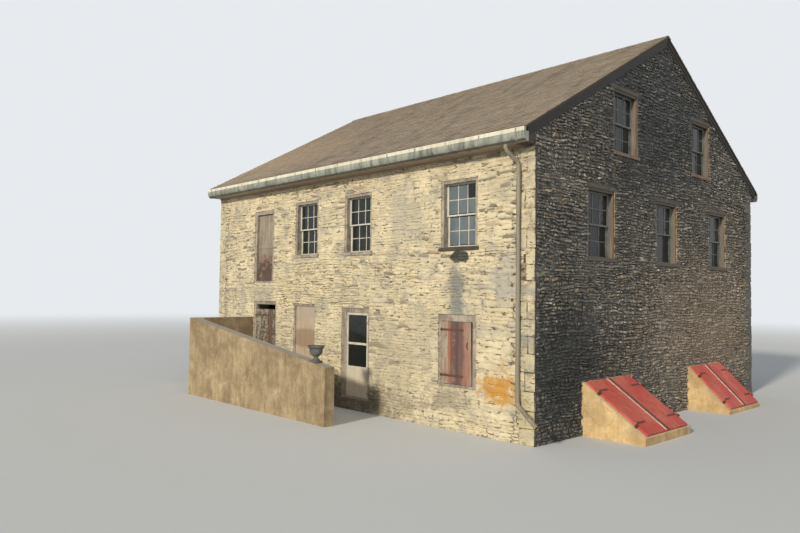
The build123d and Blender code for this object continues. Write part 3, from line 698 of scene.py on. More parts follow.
class Weather(Effect):
    """Blotches of grime and streaks that run down a surface."""

    title = "weather"
    inputs = {"Place": (0, 0, 0), "Scale": 1.0}
    outputs = ("Blotches", "Streaks", "Speckle")

    def wire(self, sheet: NodeSheet, given: bpy.types.NodeOutputs) -> Sequence[bpy.types.NodeSocket]:
        """Builds blotches from slow noise and streaks from noise drawn out upwards."""
        spot = sheet.vector("SCALE", given["Place"], scale=given["Scale"])
        drawn = sheet.vector("MULTIPLY", spot, (1.0, 1.0, 0.12))
        return (sheet.remap(sheet.noise(spot, 0.9, 6.0, 0.62, 0.4), 0.34, 0.68),
                sheet.remap(sheet.noise(drawn, 5.0, 5.0, 0.65), 0.42, 0.72),
                sheet.noise(spot, 38.0, 3.0, 0.7))


class WoodGrain(Effect):
    """Grain lines of sawn timber along one direction."""

    title = "wood grain"
    inputs = {"Place": (0, 0, 0), "Along": (0, 0, 1), "Fineness": 60.0, "Shift": 0.0}
    outputs = ("Grain", "Cracks")

    def wire(self, sheet: NodeSheet, given: bpy.types.NodeOutputs) -> Sequence[bpy.types.NodeSocket]:
        """Squeezes the place along the grain before reading noise."""
        along = sheet.vector("DOT_PRODUCT", given["Place"], given["Along"])
        taken = sheet.vector("SCALE", given["Along"], scale=sheet.times(along, 0.955))
        squeezed = sheet.vector("SUBTRACT", given["Place"], taken)
        moved = sheet.vector("ADD", squeezed, sheet.vector("SCALE", (7.3, 3.1, 5.7), scale=given["Shift"]))
        cracks = sheet.noise(moved, sheet.times(given["Fineness"], 0.45), 2.0, 0.5)
        return sheet.noise(moved, given["Fineness"], 5.0, 0.6, 0.3), sheet.remap(cracks, 0.60, 0.68)


class PeeledPaint(Effect):
    """Mask of the places where paint has come off, with crisp edges."""

    title = "peeled paint"
    inputs = {"Place": (0, 0, 0), "Amount": 0.3, "Scale": 1.0}
    outputs = ("Bare",)

    def wire(self, sheet: NodeSheet, given: bpy.types.NodeOutputs) -> Sequence[bpy.types.NodeSocket]:
        """Cuts two sizes of noise at the wanted share."""
        spot = sheet.vector("SCALE", given["Place"], scale=given["Scale"])
        blend = sheet.plus(sheet.times(sheet.noise(spot, 3.0, 5.0, 0.6, 0.8), 0.6),
                           sheet.times(sheet.noise(spot, 26.0, 4.0, 0.6, 0.5), 0.4))
        edge = sheet.remap(given["Amount"], 0.0, 1.0, 0.68, 0.32)
        return (sheet.remap(blend, edge, sheet.plus(edge, 0.04)),)


class LimeCover(Effect):
    """Mask of the places where old lime wash still covers stones and joints alike, and smudges of painted
    tree shadow.
    """

    title = "lime cover"
    inputs = {"Place": (0, 0, 0), "Share": 0.5, "Rim": 0.0}
    outputs = ("Cover", "Clouds", "Cracks", "Smudges")

    def wire(self, sheet: NodeSheet, given: bpy.types.NodeOutputs) -> Sequence[bpy.types.NodeSocket]:
        """Cuts broad and middling noise at the wanted share, draws level cracks at the rims, and makes
        smudges of painted tree shadow.
        """
        place = given["Place"]
        blend = sheet.plus(sheet.times(sheet.noise(place, 0.7, 3.0, 0.5), 0.45),
                           sheet.times(sheet.noise(place, 4.2, 6.0, 0.68, 0.6), 0.55))
        edge = sheet.remap(given["Share"], 0.0, 1.0, 0.66, 0.34)
        cover = sheet.remap(blend, sheet.minus(edge, 0.035), sheet.plus(edge, 0.045))
        flat = sheet.vector("MULTIPLY", place, (1.0, 1.0, 3.4))
        open_joint = sheet.minus(sheet.noise(flat, 7.5, 4.0, 0.62, 0.7), sheet.times(given["Rim"], 0.105))
        # Smudges of painted tree shadow.
        shadow_smudges = sheet.noise(sheet.vector("MULTIPLY", place, (0.8, 0.8, 1.5)), 2.1, 7.0, 0.68, 1.1)
        return (cover, sheet.noise(place, 1.6, 6.0, 0.7, 0.3), sheet.remap(open_joint, 0.52, 0.61),
                sheet.remap(shadow_smudges, 0.46, 0.70))


class SoftSpot(Effect):
    """Mask round one place on the building, broken up at its border."""

    title = "soft spot"
    inputs = {"Place": (0, 0, 0), "Centre": (0, 0, 0), "Reach": (1, 1, 1), "Ragged": 0.5, "Edge": 0.35}
    outputs = ("Mask",)

    def wire(self, sheet: NodeSheet, given: bpy.types.NodeOutputs) -> Sequence[bpy.types.NodeSocket]:
        """Measures the distance from the centre in reaches and shakes it with noise."""
        away = sheet.vector("SUBTRACT", given["Place"], given["Centre"])
        distance = sheet.vector("LENGTH", sheet.vector("DIVIDE", away, given["Reach"]))
        rough = sheet.minus(sheet.noise(given["Place"], 5.5, 8.0, 0.72), 0.5)
        shaken = sheet.plus(distance, sheet.times(rough, sheet.times(given["Ragged"], 2.4)))
        return (sheet.remap(shaken, 1.0, given["Edge"]),)


class PieceMarks(Effect):
    """The tone and rim that each stone or board carries."""

    title = "piece marks"
    outputs = ("Tone", "Rim")

    def wire(self, sheet: NodeSheet, given: bpy.types.NodeOutputs) -> Sequence[bpy.types.NodeSocket]:
        """Reads the two attributes."""
        return tuple(sheet.node("ShaderNodeAttribute", attribute_name=label).outputs["Fac"]
                     for label in ("tone", "rim"))


# Grey-blue of painted tree shadow, smudged over the lime wash.
SHADOW_SMUDGE: Colour = (0.33, 0.31, 0.265)
OPEN_CRACK: Colour = (0.10, 0.075, 0.045)
WEATHER = Weather()
WOOD_GRAIN = WoodGrain()
PEELED_PAINT = PeeledPaint()
LIME_COVER = LimeCover()
SOFT_SPOT = SoftSpot()
PIECE_MARKS = PieceMarks()


# Finishes


@dataclass(frozen=True)
class Spot:
    """A mark round one place; most are stains, and some are painted shade and light."""

    centre: Triple
    reach: Triple
    colour: Colour
    strength: float = 0.7
    ragged: float = 0.5
    edge: float = 0.35


@dataclass(frozen=True)
class Finish:
    """Base of all finishes: a name and a way to wire a material."""

    name: str

    def material(self) -> bpy.types.Material:
        """Gives the material, building it on first use."""
        made = bpy.data.materials.get(self.name)
        if made:
            return made
        made = bpy.data.materials.new(self.name)
        made.use_nodes = True
        self.wire(NodeSheet(made.node_tree))
        return made

    def wire(self, sheet: NodeSheet) -> None:
        """Builds the material's nodes.

        Args:
            sheet: Sheet over the material's tree.
        """
        raise NotImplementedError


@dataclass(frozen=True)
class StoneFinish(Finish):
    """Split stones, each with its own colour, darker at the joint, stained in places, and with pale flecks of
    painted highlight.
    """

    tones: Stops
    joint: Colour
    grime: Colour
    grime_share: float = 0.3
    streak_share: float = 0.25
    relief: float = 0.008
    shade: float = 0.35
    spots: tuple[Spot, ...] = ()
    wash: Colour | None = None
    wash_share: float = 0.5
    front_tones: Stops = ()
    rim: float = 0.75
    highlight_fleck: Colour | None = None

    def wire(self, sheet: NodeSheet) -> None:
        """Wires the stone colours, joints, painted highlight flecks, wash, grime, spots and relief."""
        place = sheet.place()
        marks = sheet.group(PIECE_MARKS)
        weather = sheet.group(WEATHER, Place=place, Scale=1.0)
        colour = sheet.ramp(marks["Tone"], self.tones)
        front: object = 1.0
        if self.front_tones:
            front = sheet.facing_front()
            colour = sheet.mix(front, colour, sheet.ramp(marks["Tone"], self.front_tones))
        cleft = sheet.vector("MULTIPLY", place, (1.0, 1.0, 3.2))
        flakes = sheet.noise(cleft, 14.0, 6.0, 0.68, 0.6)
        shade = sheet.remap(flakes, 0.25, 0.75, 1.0 - self.shade, 1.0 + self.shade * 0.6)
        colour = sheet.mix(1.0, colour, sheet.grey(shade), "MULTIPLY")
        for label, share in (("Blotches", self.grime_share), ("Streaks", self.streak_share)):
            colour = sheet.mix(sheet.times(weather[label], share), colour, self.grime)
        colour = sheet.mix(sheet.remap(marks["Rim"], 0.0, 0.8, self.rim, 0.0), colour, self.joint)
        # Pale flecks are painted highlights of raking light on the split faces.
        if self.highlight_fleck:
            highlight_chips = sheet.remap(sheet.noise(place, 9.5, 4.0, 0.6, 1.4), 0.55, 0.63, 0.0, 0.85)
            zone = sheet.remap(sheet.noise(place, 0.8, 3.0, 0.6, 0.5), 0.36, 0.62, 0.25, 1.0)
            highlight_chips = sheet.times(highlight_chips, zone)
            colour = sheet.mix(sheet.times(highlight_chips, marks["Rim"]), colour, self.highlight_fleck)
        if self.wash:
            hold = sheet.remap(marks["Tone"], 0.92, 0.96, 1.0, 0.12)
            washed = add_wash(sheet, place, colour, self.wash, self.wash_share, marks["Rim"], hold)
            colour = sheet.mix(front, colour, washed)
        colour = add_spots(sheet, place, colour, self.spots)
        grit = sheet.noise(place, 95.0, 3.0, 0.6)
        height = sheet.plus(flakes, sheet.times(grit, 0.25))
        roughness = sheet.remap(flakes, 0.2, 0.8, 0.95, 0.78)
        sheet.surface(colour, roughness, sheet.bump(height, self.relief), Specular_IOR_Level=0.25)


def add_wash(sheet: NodeSheet, place: bpy.types.NodeSocket, colour: bpy.types.NodeSocket, wash: Colour,
             share: float, rim: object = 0.0, hold: object = 1.0) -> bpy.types.NodeSocket:
    """Lays cloudy lime wash over a colour, with smudges of painted tree shadow.

    Args:
        sheet: Sheet of the material.
        place: Place on the object.
        colour: Colour under the wash.
        wash: Colour of the wash.
        share: Share of the surface that it covers.
        rim: Distance from a stone's edge, 0 to 1, which keeps the open cracks to the joints.
        hold: How well the wash holds, 1 where it is whole.

    Returns:
        The washed colour.
    """
    lime = sheet.group(LIME_COVER, Place=place, Share=share, Rim=rim)
    shade = sheet.remap(lime["Clouds"], 0.3, 0.7, 0.72, 1.12)
    tinted = sheet.mix(1.0, wash, sheet.grey(shade), "MULTIPLY")
    cover = sheet.times(sheet.times(lime["Cover"], 0.82), hold)
    colour = sheet.mix(cover, colour, tinted)
    # Painted tree shadow in grey-blue smudges.
    colour = sheet.mix(sheet.times(lime["Smudges"], 0.72), colour, SHADOW_SMUDGE)
    return sheet.mix(sheet.times(lime["Cracks"], 0.9), colour, OPEN_CRACK)


def add_spots(sheet: NodeSheet, place: bpy.types.NodeSocket, colour: bpy.types.NodeSocket,
              spots: Sequence[Spot]) -> bpy.types.NodeSocket:
    """Lays stains, painted shade and painted light over a colour.

    Args:
        sheet: Sheet of the material.
        place: Place on the object.
        colour: Colour under the stains.
        spots: The stains and the painted shade and light.

    Returns:
        The stained colour.
    """
    for spot in spots:
        mask = sheet.group(SOFT_SPOT, Place=place, Centre=spot.centre, Reach=spot.reach, Ragged=spot.ragged,
                           Edge=spot.edge)["Mask"]
        colour = sheet.mix(sheet.times(mask, spot.strength), colour, spot.colour)
    return colour


@dataclass(frozen=True)
class JointFinish(Finish):
    """Mortar and packing between stones, patchy, with lime wash in places."""

    bed: Colour
    dark: Colour
    wash: Colour
    wash_share: float = 0.4
    front_bed: Colour | None = None
    front_wash: Colour | None = None
    spots: tuple[Spot, ...] = ()

    def wire(self, sheet: NodeSheet) -> None:
        """Wires the patches of mortar and wash."""
        place = sheet.place()
        weather = sheet.group(WEATHER, Place=place, Scale=1.4)
        bed, wash = self.bed, self.wash
        if self.front_bed:
            front = sheet.facing_front()
            bed = sheet.mix(front, self.bed, self.front_bed)
            wash = sheet.mix(front, self.wash, self.front_wash)
        dark = sheet.remap(sheet.noise(place, 9.0, 5.0, 0.65), 0.45, 0.62)
        colour = sheet.mix(dark, bed, self.dark)
        colour = add_wash(sheet, place, colour, wash, self.wash_share)
        grime = sheet.times(weather["Streaks"], 0.3)
        colour = sheet.mix(grime, colour, self.dark)
        colour = add_spots(sheet, place, colour, self.spots)
        grit = sheet.noise(place, 60.0, 5.0, 0.7)
        sheet.surface(colour, 0.93, sheet.bump(grit, 0.012), Specular_IOR_Level=0.2)


# Distance from the middle across which a gable window's frame turns from its paint to the grey-blue of its
# reveal.
REVEAL_SHADE_EDGE: Point = (5.405, 5.39)


@dataclass(frozen=True)
class TimberFinish(Finish):
    """Painted or bare timber with grain, peeling and dirt, and painted shade in places."""

    paint: Colour
    bare: Colour
    along: Axis = Axis.Z
    peeled: float = 0.3
    dirt: Colour = (0.05, 0.045, 0.04)
    dirt_share: float = 0.3
    tones: Stops = ()
    gloss: float = 0.6
    fineness: float = 55.0
    spots: tuple[Spot, ...] = ()
    reveal_shade: Colour | None = None
    flakes: float = 1.6

    def wire(self, sheet: NodeSheet) -> None:
        """Wires paint over grain, with bare and dirty places and, inside a gable window, a grey-blue that is
        partly paint and partly painted shade.
        """
        place = sheet.place()
        marks = sheet.group(PIECE_MARKS)
        grain = sheet.group(WOOD_GRAIN, Place=place, Along=self.along.value, Fineness=self.fineness,
                            Shift=marks["Tone"])
        weather = sheet.group(WEATHER, Place=place, Scale=2.2)
        peel = sheet.group(PEELED_PAINT, Place=place, Amount=self.peeled, Scale=self.flakes)
        paint = sheet.ramp(marks["Tone"], self.tones, stepped=True) if self.tones else self.paint
        # Frame parts deeper than the gable face take a grey-blue that is partly paint and partly painted
        # shade.
        if self.reveal_shade:
            inside = sheet.remap(sheet.maths("ABSOLUTE", sheet.axis(place, "X")), *REVEAL_SHADE_EDGE)
            paint = sheet.mix(inside, self.paint, self.reveal_shade)
        worn = sheet.maths("MAXIMUM", peel["Bare"],
                           sheet.times(grain["Cracks"], min(1.0, self.peeled * 2)))
        bare = sheet.mix(grain["Grain"], tuple(value * 0.62 for value in self.bare),
                         tuple(min(1.0, value * 1.25) for value in self.bare))
        faded = sheet.mix(sheet.remap(grain["Grain"], 0.3, 0.7, 0.0, 0.35), paint, bare)
        colour = sheet.mix(worn, faded, bare)
        for label, share in (("Streaks", self.dirt_share), ("Blotches", self.dirt_share * 0.6)):
            colour = sheet.mix(sheet.times(weather[label], share), colour, self.dirt)
        colour = add_spots(sheet, place, colour, self.spots)
        height = sheet.minus(grain["Grain"],
                             sheet.times(sheet.plus(grain["Cracks"], worn), 0.5))
        roughness = sheet.remap(worn, 0.0, 1.0, self.gloss, 0.9)
        sheet.surface(colour, roughness, sheet.bump(height, 0.003), Specular_IOR_Level=0.35)


@dataclass(frozen=True)
class ShingleFinish(Finish):
    """Weathered wooden shingles with dark streaks and moss, painted shade under each course and a painted
    sheen in one place.
    """

    tones: Stops
    moss: Colour
    dark: Colour
    spots: tuple[Spot, ...] = ()

    def wire(self, sheet: NodeSheet) -> None:
        """Wires shingle tones, grain down the slope, moss, streaks, and the painted shade and sheen."""
        place = sheet.place()
        marks = sheet.group(PIECE_MARKS)
        grain = sheet.group(WOOD_GRAIN, Place=place, Along=Axis.Y.value, Fineness=70.0,
                            Shift=marks["Tone"])
        colour = sheet.ramp(marks["Tone"], self.tones)
        lines = sheet.remap(grain["Grain"], 0.25, 0.75, 0.72, 1.2)
        colour = sheet.mix(1.0, colour, sheet.grey(lines), "MULTIPLY")
        drawn = sheet.vector("MULTIPLY", place, (1.0, 0.22, 0.22))
        runs = sheet.remap(sheet.noise(drawn, 2.6, 6.0, 0.66, 0.3), 0.46, 0.72, 0.0, 0.5)
        colour = sheet.mix(runs, colour, self.dark)
        moss = sheet.remap(sheet.noise(place, 3.4, 6.0, 0.7, 0.2), 0.56, 0.72, 0.0, 0.4)
        colour = sheet.mix(moss, colour, self.moss)
        colour = add_spots(sheet, place, colour, self.spots)
        # Painted shade under the butt of the course above, with some dirt: darker at the top of each shingle
        # and on its butt face.
        rim = sheet.remap(marks["Rim"], 0.0, 0.6, 0.9, 0.0)
        colour = sheet.mix(rim, colour, self.dark)
        sheet.surface(colour, 0.88, sheet.bump(grain["Grain"], 0.003), Specular_IOR_Level=0.25)


@dataclass(frozen=True)
class MetalFinish(Finish):
    """Painted metal with fading, streaks and rust."""

    paint: Colour
    faded: Colour
    rust: Colour = (0.13, 0.055, 0.025)
    rust_share: float = 0.2
    streak_colour: Colour = (0.05, 0.05, 0.045)
    streak_share: float = 0.4
    gloss: float = 0.5
    scratch_along: Triple | None = None
    spots: tuple[Spot, ...] = ()

    def wire(self, sheet: NodeSheet) -> None:
        """Wires paint, streaks, rust and scratches."""
        place = sheet.place()
        weather = sheet.group(WEATHER, Place=place, Scale=1.8)
        colour = sheet.mix(sheet.remap(weather["Blotches"], 0.0, 1.0, 0.0, 0.8), self.paint, self.faded)
        streaks = sheet.times(weather["Streaks"], self.streak_share)
        colour = sheet.mix(streaks, colour, self.streak_colour)
        peel = sheet.group(PEELED_PAINT, Place=place, Amount=self.rust_share, Scale=3.0)
        colour = sheet.mix(sheet.times(peel["Bare"], 0.85), colour, self.rust)
        height = sheet.times(weather["Speckle"], 0.4)
        if self.scratch_along:
            lines = sheet.group(WOOD_GRAIN, Place=place, Along=self.scratch_along, Fineness=34.0, Shift=0.0)
            marks = sheet.remap(lines["Grain"], 0.58, 0.72, 0.0, 0.55)
            colour = sheet.mix(marks, colour, tuple(value * 0.45 for value in self.paint))
            pale = sheet.remap(lines["Grain"], 0.34, 0.24, 0.0, 0.35)
            colour = sheet.mix(pale, colour, self.faded)
        colour = add_spots(sheet, place, colour, self.spots)
        roughness = sheet.remap(peel["Bare"], 0.0, 1.0, self.gloss, 0.85)
        sheet.surface(colour, roughness, sheet.bump(height, 0.002), Specular_IOR_Level=0.4)


@dataclass(frozen=True)
class GlassFinish(Finish):
    """Old window glass over a dark room."""

    tint: Colour
    dust: Colour
    dust_share: float = 0.15
    clear: float = 0.35

    def wire(self, sheet: NodeSheet) -> None:
        """Wires dusty dark glass that lets a little light through."""
        place = sheet.place()
        weather = sheet.group(WEATHER, Place=place, Scale=2.5)
        dust = sheet.times(weather["Blotches"], self.dust_share)
        colour = sheet.mix(dust, self.tint, self.dust)
        wave = sheet.noise(place, 5.0, 2.0, 0.4)
        sheet.surface(colour, 0.08, sheet.bump(wave, 0.004), Transmission_Weight=self.clear, IOR=1.5,
                      Specular_IOR_Level=0.3)


@dataclass(frozen=True)
class ConcreteFinish(Finish):
    """Cast concrete or rendered masonry, stained and cracked."""

    tone: Colour
    light: Colour
    stain: Colour
    stain_share: float = 0.5
    top: Colour | None = None
    crack: float = 0.5
    spots: tuple[Spot, ...] = ()

    def wire(self, sheet: NodeSheet) -> None:
        """Wires cast mottling, stains, hair cracks and a weathered top."""
        place = sheet.place()
        weather = sheet.group(WEATHER, Place=place, Scale=1.6)
        mottle = sheet.noise(place, 6.0, 7.0, 0.7, 0.4)
        colour = sheet.mix(sheet.remap(mottle, 0.3, 0.7), self.tone, self.light)
        for label, share in (("Blotches", self.stain_share), ("Streaks", self.stain_share * 0.7)):
            colour = sheet.mix(sheet.times(weather[label], share), colour, self.stain)
        if self.top:
            colour = sheet.mix(sheet.remap(sheet.facing("Z"), 0.6, 0.9, 0.0, 0.85), colour, self.top)
        bend = sheet.vector("SCALE", sheet.grey(sheet.noise(place, 7.0, 4.0)), scale=0.25)
        web = sheet.fill(sheet.node("ShaderNodeTexVoronoi", feature="DISTANCE_TO_EDGE"),
                         Vector=sheet.vector("ADD", place, bend), Scale=1.7)
        crack = sheet.remap(web["Distance"], 0.012, 0.002, 0.0, self.crack)
        colour = sheet.mix(crack, colour, tuple(value * 0.35 for value in self.stain))
        colour = add_spots(sheet, place, colour, self.spots)
        height = sheet.minus(sheet.noise(place, 45.0, 6.0, 0.7), sheet.times(crack, 1.5))
        sheet.surface(colour, 0.92, sheet.bump(height, 0.006), Specular_IOR_Level=0.25)


# The finishes of this house

LIME_TONES = (
    (0.0, (0.66, 0.56, 0.35)), (0.25, (0.78, 0.67, 0.44)), (0.5, (0.60, 0.50, 0.33)),
    (0.7, (0.74, 0.63, 0.42)), (0.86, (0.54, 0.46, 0.31)), (0.93, (0.44, 0.38, 0.27)),
    (0.965, (0.50, 0.34, 0.17)), (1.0, (0.17, 0.14, 0.10)))
SCHIST_TONES = (
    (0.0, (0.11, 0.11, 0.11)), (0.25, (0.20, 0.195, 0.18)), (0.5, (0.29, 0.27, 0.23)),
    (0.66, (0.22, 0.185, 0.14)), (0.8, (0.34, 0.32, 0.27)), (0.9, (0.33, 0.23, 0.15)),
    (1.0, (0.44, 0.40, 0.33)))
LIME_WASH = (0.72, 0.61, 0.395)

OCHRE_SPOT = Spot((4.72, -5.0, 0.92), (0.55, 0.3, 0.40), (0.52, 0.25, 0.035), 0.9, 1.7, 0.3)
CORNER_FOOT_SPOT = Spot((5.25, -5.0, 0.60), (0.40, 0.4, 0.6), (0.50, 0.42, 0.22), 0.4, 0.9)
# Painted shadow under the projecting sill of the front window over the red door.
SILL_SHADOW_SPOT = Spot((3.72, -5.0, 3.33), (0.30, 0.3, 0.13), (0.035, 0.037, 0.032), 0.95, 0.9, 0.8)
# Painted shadow of a tree trunk, running down the wall from that sill.
TREE_SHADOW_RUN_SPOT = Spot((3.66, -5.0, 2.55), (0.27, 0.3, 0.85), (0.17, 0.18, 0.175), 0.78, 0.75)
UNDER_DOOR_SPOT = Spot((3.45, -5.0, 0.55), (0.75, 0.3, 0.35), (0.20, 0.17, 0.13), 0.6, 0.9)
DOOR_DRIP_SPOT = Spot((-3.2, -5.0, 2.55), (0.8, 0.3, 0.35), (0.30, 0.28, 0.23), 0.5, 0.9)
GREY_PATCH_SPOT = Spot((2.2, -5.0, 4.2), (0.75, 0.3, 0.85), (0.42, 0.38, 0.30), 0.5, 0.9)
LOW_MIDDLE_SPOT = Spot((2.0, -5.0, 1.35), (1.9, 0.3, 1.5), (0.40, 0.345, 0.24), 0.42, 1.6)
PIPE_SIDE_SPOT = Spot((4.80, -5.0, 2.95), (0.42, 0.3, 0.55), (0.35, 0.335, 0.31), 0.55, 1.6)
# Painted shade on the ends of the eaves at the right gable: the rear end, and the cornice return at the
# front.
EAVE_END_SHADE_SPOT = Spot((5.5, 5.2, 5.4), (1.2, 0.5, 0.5), (0.035, 0.033, 0.03), 0.9, 0.2, 0.7)
EAVE_RETURN_SHADE_SPOT = Spot((5.5, -5.13, 5.36), (0.45, 0.2, 0.4), (0.055, 0.042, 0.033), 0.9, 0.2, 0.6)
LEFT_RUN_SPOT = Spot((-5.15, -5.0, 2.1), (0.30, 0.3, 0.95), (0.27, 0.25, 0.21), 0.6, 1.4)
MIDDLE_RUN_SPOT = Spot((-4.15, -5.0, 2.2), (0.24, 0.3, 0.75), (0.29, 0.265, 0.22), 0.55, 1.4)
# Painted shadow of the areaway wall along the foot of the front wall.
AREAWAY_SHADOW_SPOT = Spot((-1.2, -5.0, 0.25), (4.6, 0.6, 0.75), (0.075, 0.062, 0.045), 0.85, 0.4)
# Painted light and shade on the right gable, mostly from trees: dark shade low at the front end and high up,
# and warm sunlight lower towards the rear.
GABLE_LOW_SHADOW_SPOT = Spot((5.45, -4.0, 1.3), (0.5, 2.0, 1.6), (0.050, 0.053, 0.052), 0.82, 1.2)
GABLE_SUNLIT_SPOT = Spot((5.45, 2.2, 1.9), (0.5, 4.2, 2.2), (0.50, 0.38, 0.26), 0.42, 1.7)
GABLE_HIGH_SHADOW_SPOT = Spot((5.45, -0.4, 6.6), (0.5, 3.9, 2.6), (0.060, 0.068, 0.073), 0.72, 1.1)

# Painted shade on the gable window frames: under the lintels at the heads, and on the sills.
GABLE_HEAD_SHADE_SPOT = Spot((5.43, 0.0, 4.66), (1.0, 9.0, 0.055), (0.05, 0.042, 0.033), 0.8, 0.2, 0.8)
ATTIC_HEAD_SHADE_SPOT = Spot((5.43, 0.0, 6.78), (1.0, 9.0, 0.055), (0.05, 0.042, 0.033), 0.8, 0.2, 0.8)
GABLE_SILL_SHADE_SPOT = Spot((5.43, 0.0, 3.31), (1.0, 9.0, 0.06), (0.07, 0.06, 0.05), 0.7, 0.3, 0.8)
# Painted shade on the sill of the front window over the red door, and in the gap under its sash.
W3_SILL_SHADE_SPOT = Spot((3.70, -5.0, 3.45), (0.85, 0.4, 0.085), (0.04, 0.028, 0.022), 0.9, 0.2, 0.8)

# Front wall marks: real stains, plus painted shadows under the sill, of a tree trunk and of the areaway wall.
FRONT_STAINS_AND_SHADOWS = (OCHRE_SPOT, CORNER_FOOT_SPOT, SILL_SHADOW_SPOT, TREE_SHADOW_RUN_SPOT, UNDER_DOOR_SPOT, DOOR_DRIP_SPOT,
                GREY_PATCH_SPOT, LOW_MIDDLE_SPOT, PIPE_SIDE_SPOT, LEFT_RUN_SPOT,
                MIDDLE_RUN_SPOT, AREAWAY_SHADOW_SPOT)
GABLE_SHADOWS_AND_LIGHT = (GABLE_LOW_SHADOW_SPOT, GABLE_SUNLIT_SPOT, GABLE_HIGH_SHADOW_SPOT)

# The grey-blue grime of the front stones is partly dirt and partly painted tree shadow.
LIMEWASHED_STONE = StoneFinish(
    "limewashed split stone", LIME_TONES, (0.42, 0.34, 0.20), (0.38, 0.345, 0.27), 0.42, 0.2, 0.010, 0.22,
    FRONT_STAINS_AND_SHADOWS, LIME_WASH, 0.66, rim=0.35)
SCHIST_STONE = StoneFinish(
    "bare split schist", SCHIST_TONES, (0.06, 0.056, 0.05), (0.10, 0.097, 0.088), 0.35, 0.15, 0.030, 0.6,
    GABLE_SHADOWS_AND_LIGHT, rim=0.65, highlight_fleck=(0.84, 0.76, 0.62))
# Corner stones take the lime tones on their front face. The dark tones on their gable side are partly bare
# stone and partly painted shade.
CORNER_STONE = StoneFinish(
    "dressed corner stone",
    ((0.0, (0.05, 0.05, 0.047)), (0.5, (0.13, 0.12, 0.10)), (1.0, (0.08, 0.07, 0.06))),
    (0.10, 0.08, 0.05), (0.12, 0.11, 0.09), 0.3, 0.2, 0.020, 0.5,
    (OCHRE_SPOT, CORNER_FOOT_SPOT), LIME_WASH, 0.6, LIME_TONES)
BARE_CORNER = StoneFinish(
    "bare corner stone", ((0.0, (0.13, 0.125, 0.11)), (0.4, (0.24, 0.225, 0.19)), (0.8, (0.19, 0.165, 0.13))),
    (0.07, 0.062, 0.05), (0.12, 0.115, 0.10), 0.4, 0.2, 0.025, 0.5, rim=0.7, highlight_fleck=(0.40, 0.36, 0.29))
LIME_JOINT = JointFinish(
    "limewashed mortar", (0.58, 0.48, 0.30), (0.24, 0.18, 0.10), LIME_WASH, 0.66, spots=FRONT_STAINS_AND_SHADOWS)
SCHIST_JOINT = JointFinish(
    "dark packed mortar", (0.12, 0.108, 0.088), (0.04, 0.037, 0.032), (0.24, 0.22, 0.18), 0.15,
    (0.48, 0.39, 0.24), LIME_WASH, GABLE_SHADOWS_AND_LIGHT)
# The pale spot on the left of the front slope is a painted sheen of low sun.
SHINGLE = ShingleFinish(
    "weathered shingle",
    ((0.0, (0.24, 0.19, 0.14)), (0.3, (0.30, 0.24, 0.175)), (0.55, (0.35, 0.28, 0.205)),
     (0.8, (0.29, 0.245, 0.19)), (1.0, (0.41, 0.335, 0.25))),
    (0.085, 0.082, 0.045), (0.055, 0.046, 0.034),
    (Spot((-4.6, -3.6, 6.2), (4.6, 4.0, 3.0), (0.46, 0.345, 0.23), 0.62, 0.5, 0.0),))
ROOF_BOARD = TimberFinish("sawn roof board", (0.26, 0.19, 0.12), (0.24, 0.17, 0.10), Axis.X, 0.5)
FLOOR_BOARD = TimberFinish("worn floor board", (0.22, 0.16, 0.10), (0.24, 0.17, 0.11), Axis.X, 0.6)
FLOOR_SLAB = ConcreteFinish("old floor slab", (0.28, 0.27, 0.24), (0.36, 0.35, 0.31), (0.14, 0.12, 0.09), 0.4)
EAVE_BOARD = TimberFinish("tan eave board", (0.40, 0.29, 0.20), (0.28, 0.205, 0.14), Axis.X, 0.35,
                          dirt_share=0.3, spots=(EAVE_END_SHADE_SPOT, EAVE_RETURN_SHADE_SPOT))
VERGE_BOARD = TimberFinish("dark verge board", (0.022, 0.017, 0.014), (0.075, 0.055, 0.042), Axis.Y, 0.28,
                           dirt=(0.02, 0.02, 0.02))
GUTTER_PAINT = MetalFinish("grey-green gutter", (0.24, 0.25, 0.20), (0.38, 0.385, 0.31), rust_share=0.22,
                           streak_share=0.75, gloss=0.55, spots=(EAVE_END_SHADE_SPOT,))
# Dark band along the gutter's lower edge: painted shade under the gutter.
GUTTER_FOOT_SHADE = MetalFinish("gutter foot shade", (0.075, 0.065, 0.05), (0.13, 0.115, 0.09), rust_share=0.15,
                          streak_share=0.35)
GUTTER_BAND = MetalFinish("cream gutter band", (0.74, 0.69, 0.54), (0.64, 0.58, 0.43), rust_share=0.1,
                          streak_share=0.3, gloss=0.5)
PIPE_PAINT = MetalFinish("weathered downspout", (0.27, 0.22, 0.15), (0.24, 0.225, 0.165), rust_share=0.3,
                         streak_share=0.45, gloss=0.5)
GREY_FRAME = TimberFinish("weathered grey frame", (0.455, 0.385, 0.295), (0.29, 0.24, 0.18), Axis.Z, 0.5,
                          dirt_share=0.35, spots=(W3_SILL_SHADE_SPOT,))
BROWN_FRAME = TimberFinish("gable window frame", (0.20, 0.12, 0.07), (0.30, 0.24, 0.17), Axis.Z, 0.3,
                           dirt_share=0.35, spots=(GABLE_HEAD_SHADE_SPOT, ATTIC_HEAD_SHADE_SPOT, GABLE_SILL_SHADE_SPOT),
                           reveal_shade=(0.13, 0.135, 0.12))
WHITE_SASH = TimberFinish("chalky white sash", (0.68, 0.65, 0.54), (0.42, 0.38, 0.29), Axis.Z, 0.25,
                          dirt=(0.16, 0.14, 0.10), dirt_share=0.35)
GREY_SASH = TimberFinish("grey-green sash", (0.22, 0.235, 0.21), (0.16, 0.15, 0.125), Axis.Z, 0.3,
                         dirt_share=0.35)
DARK_GLASS = GlassFinish("dark window glass", (0.012, 0.015, 0.014), (0.048, 0.045, 0.036), 0.3, 0.0)
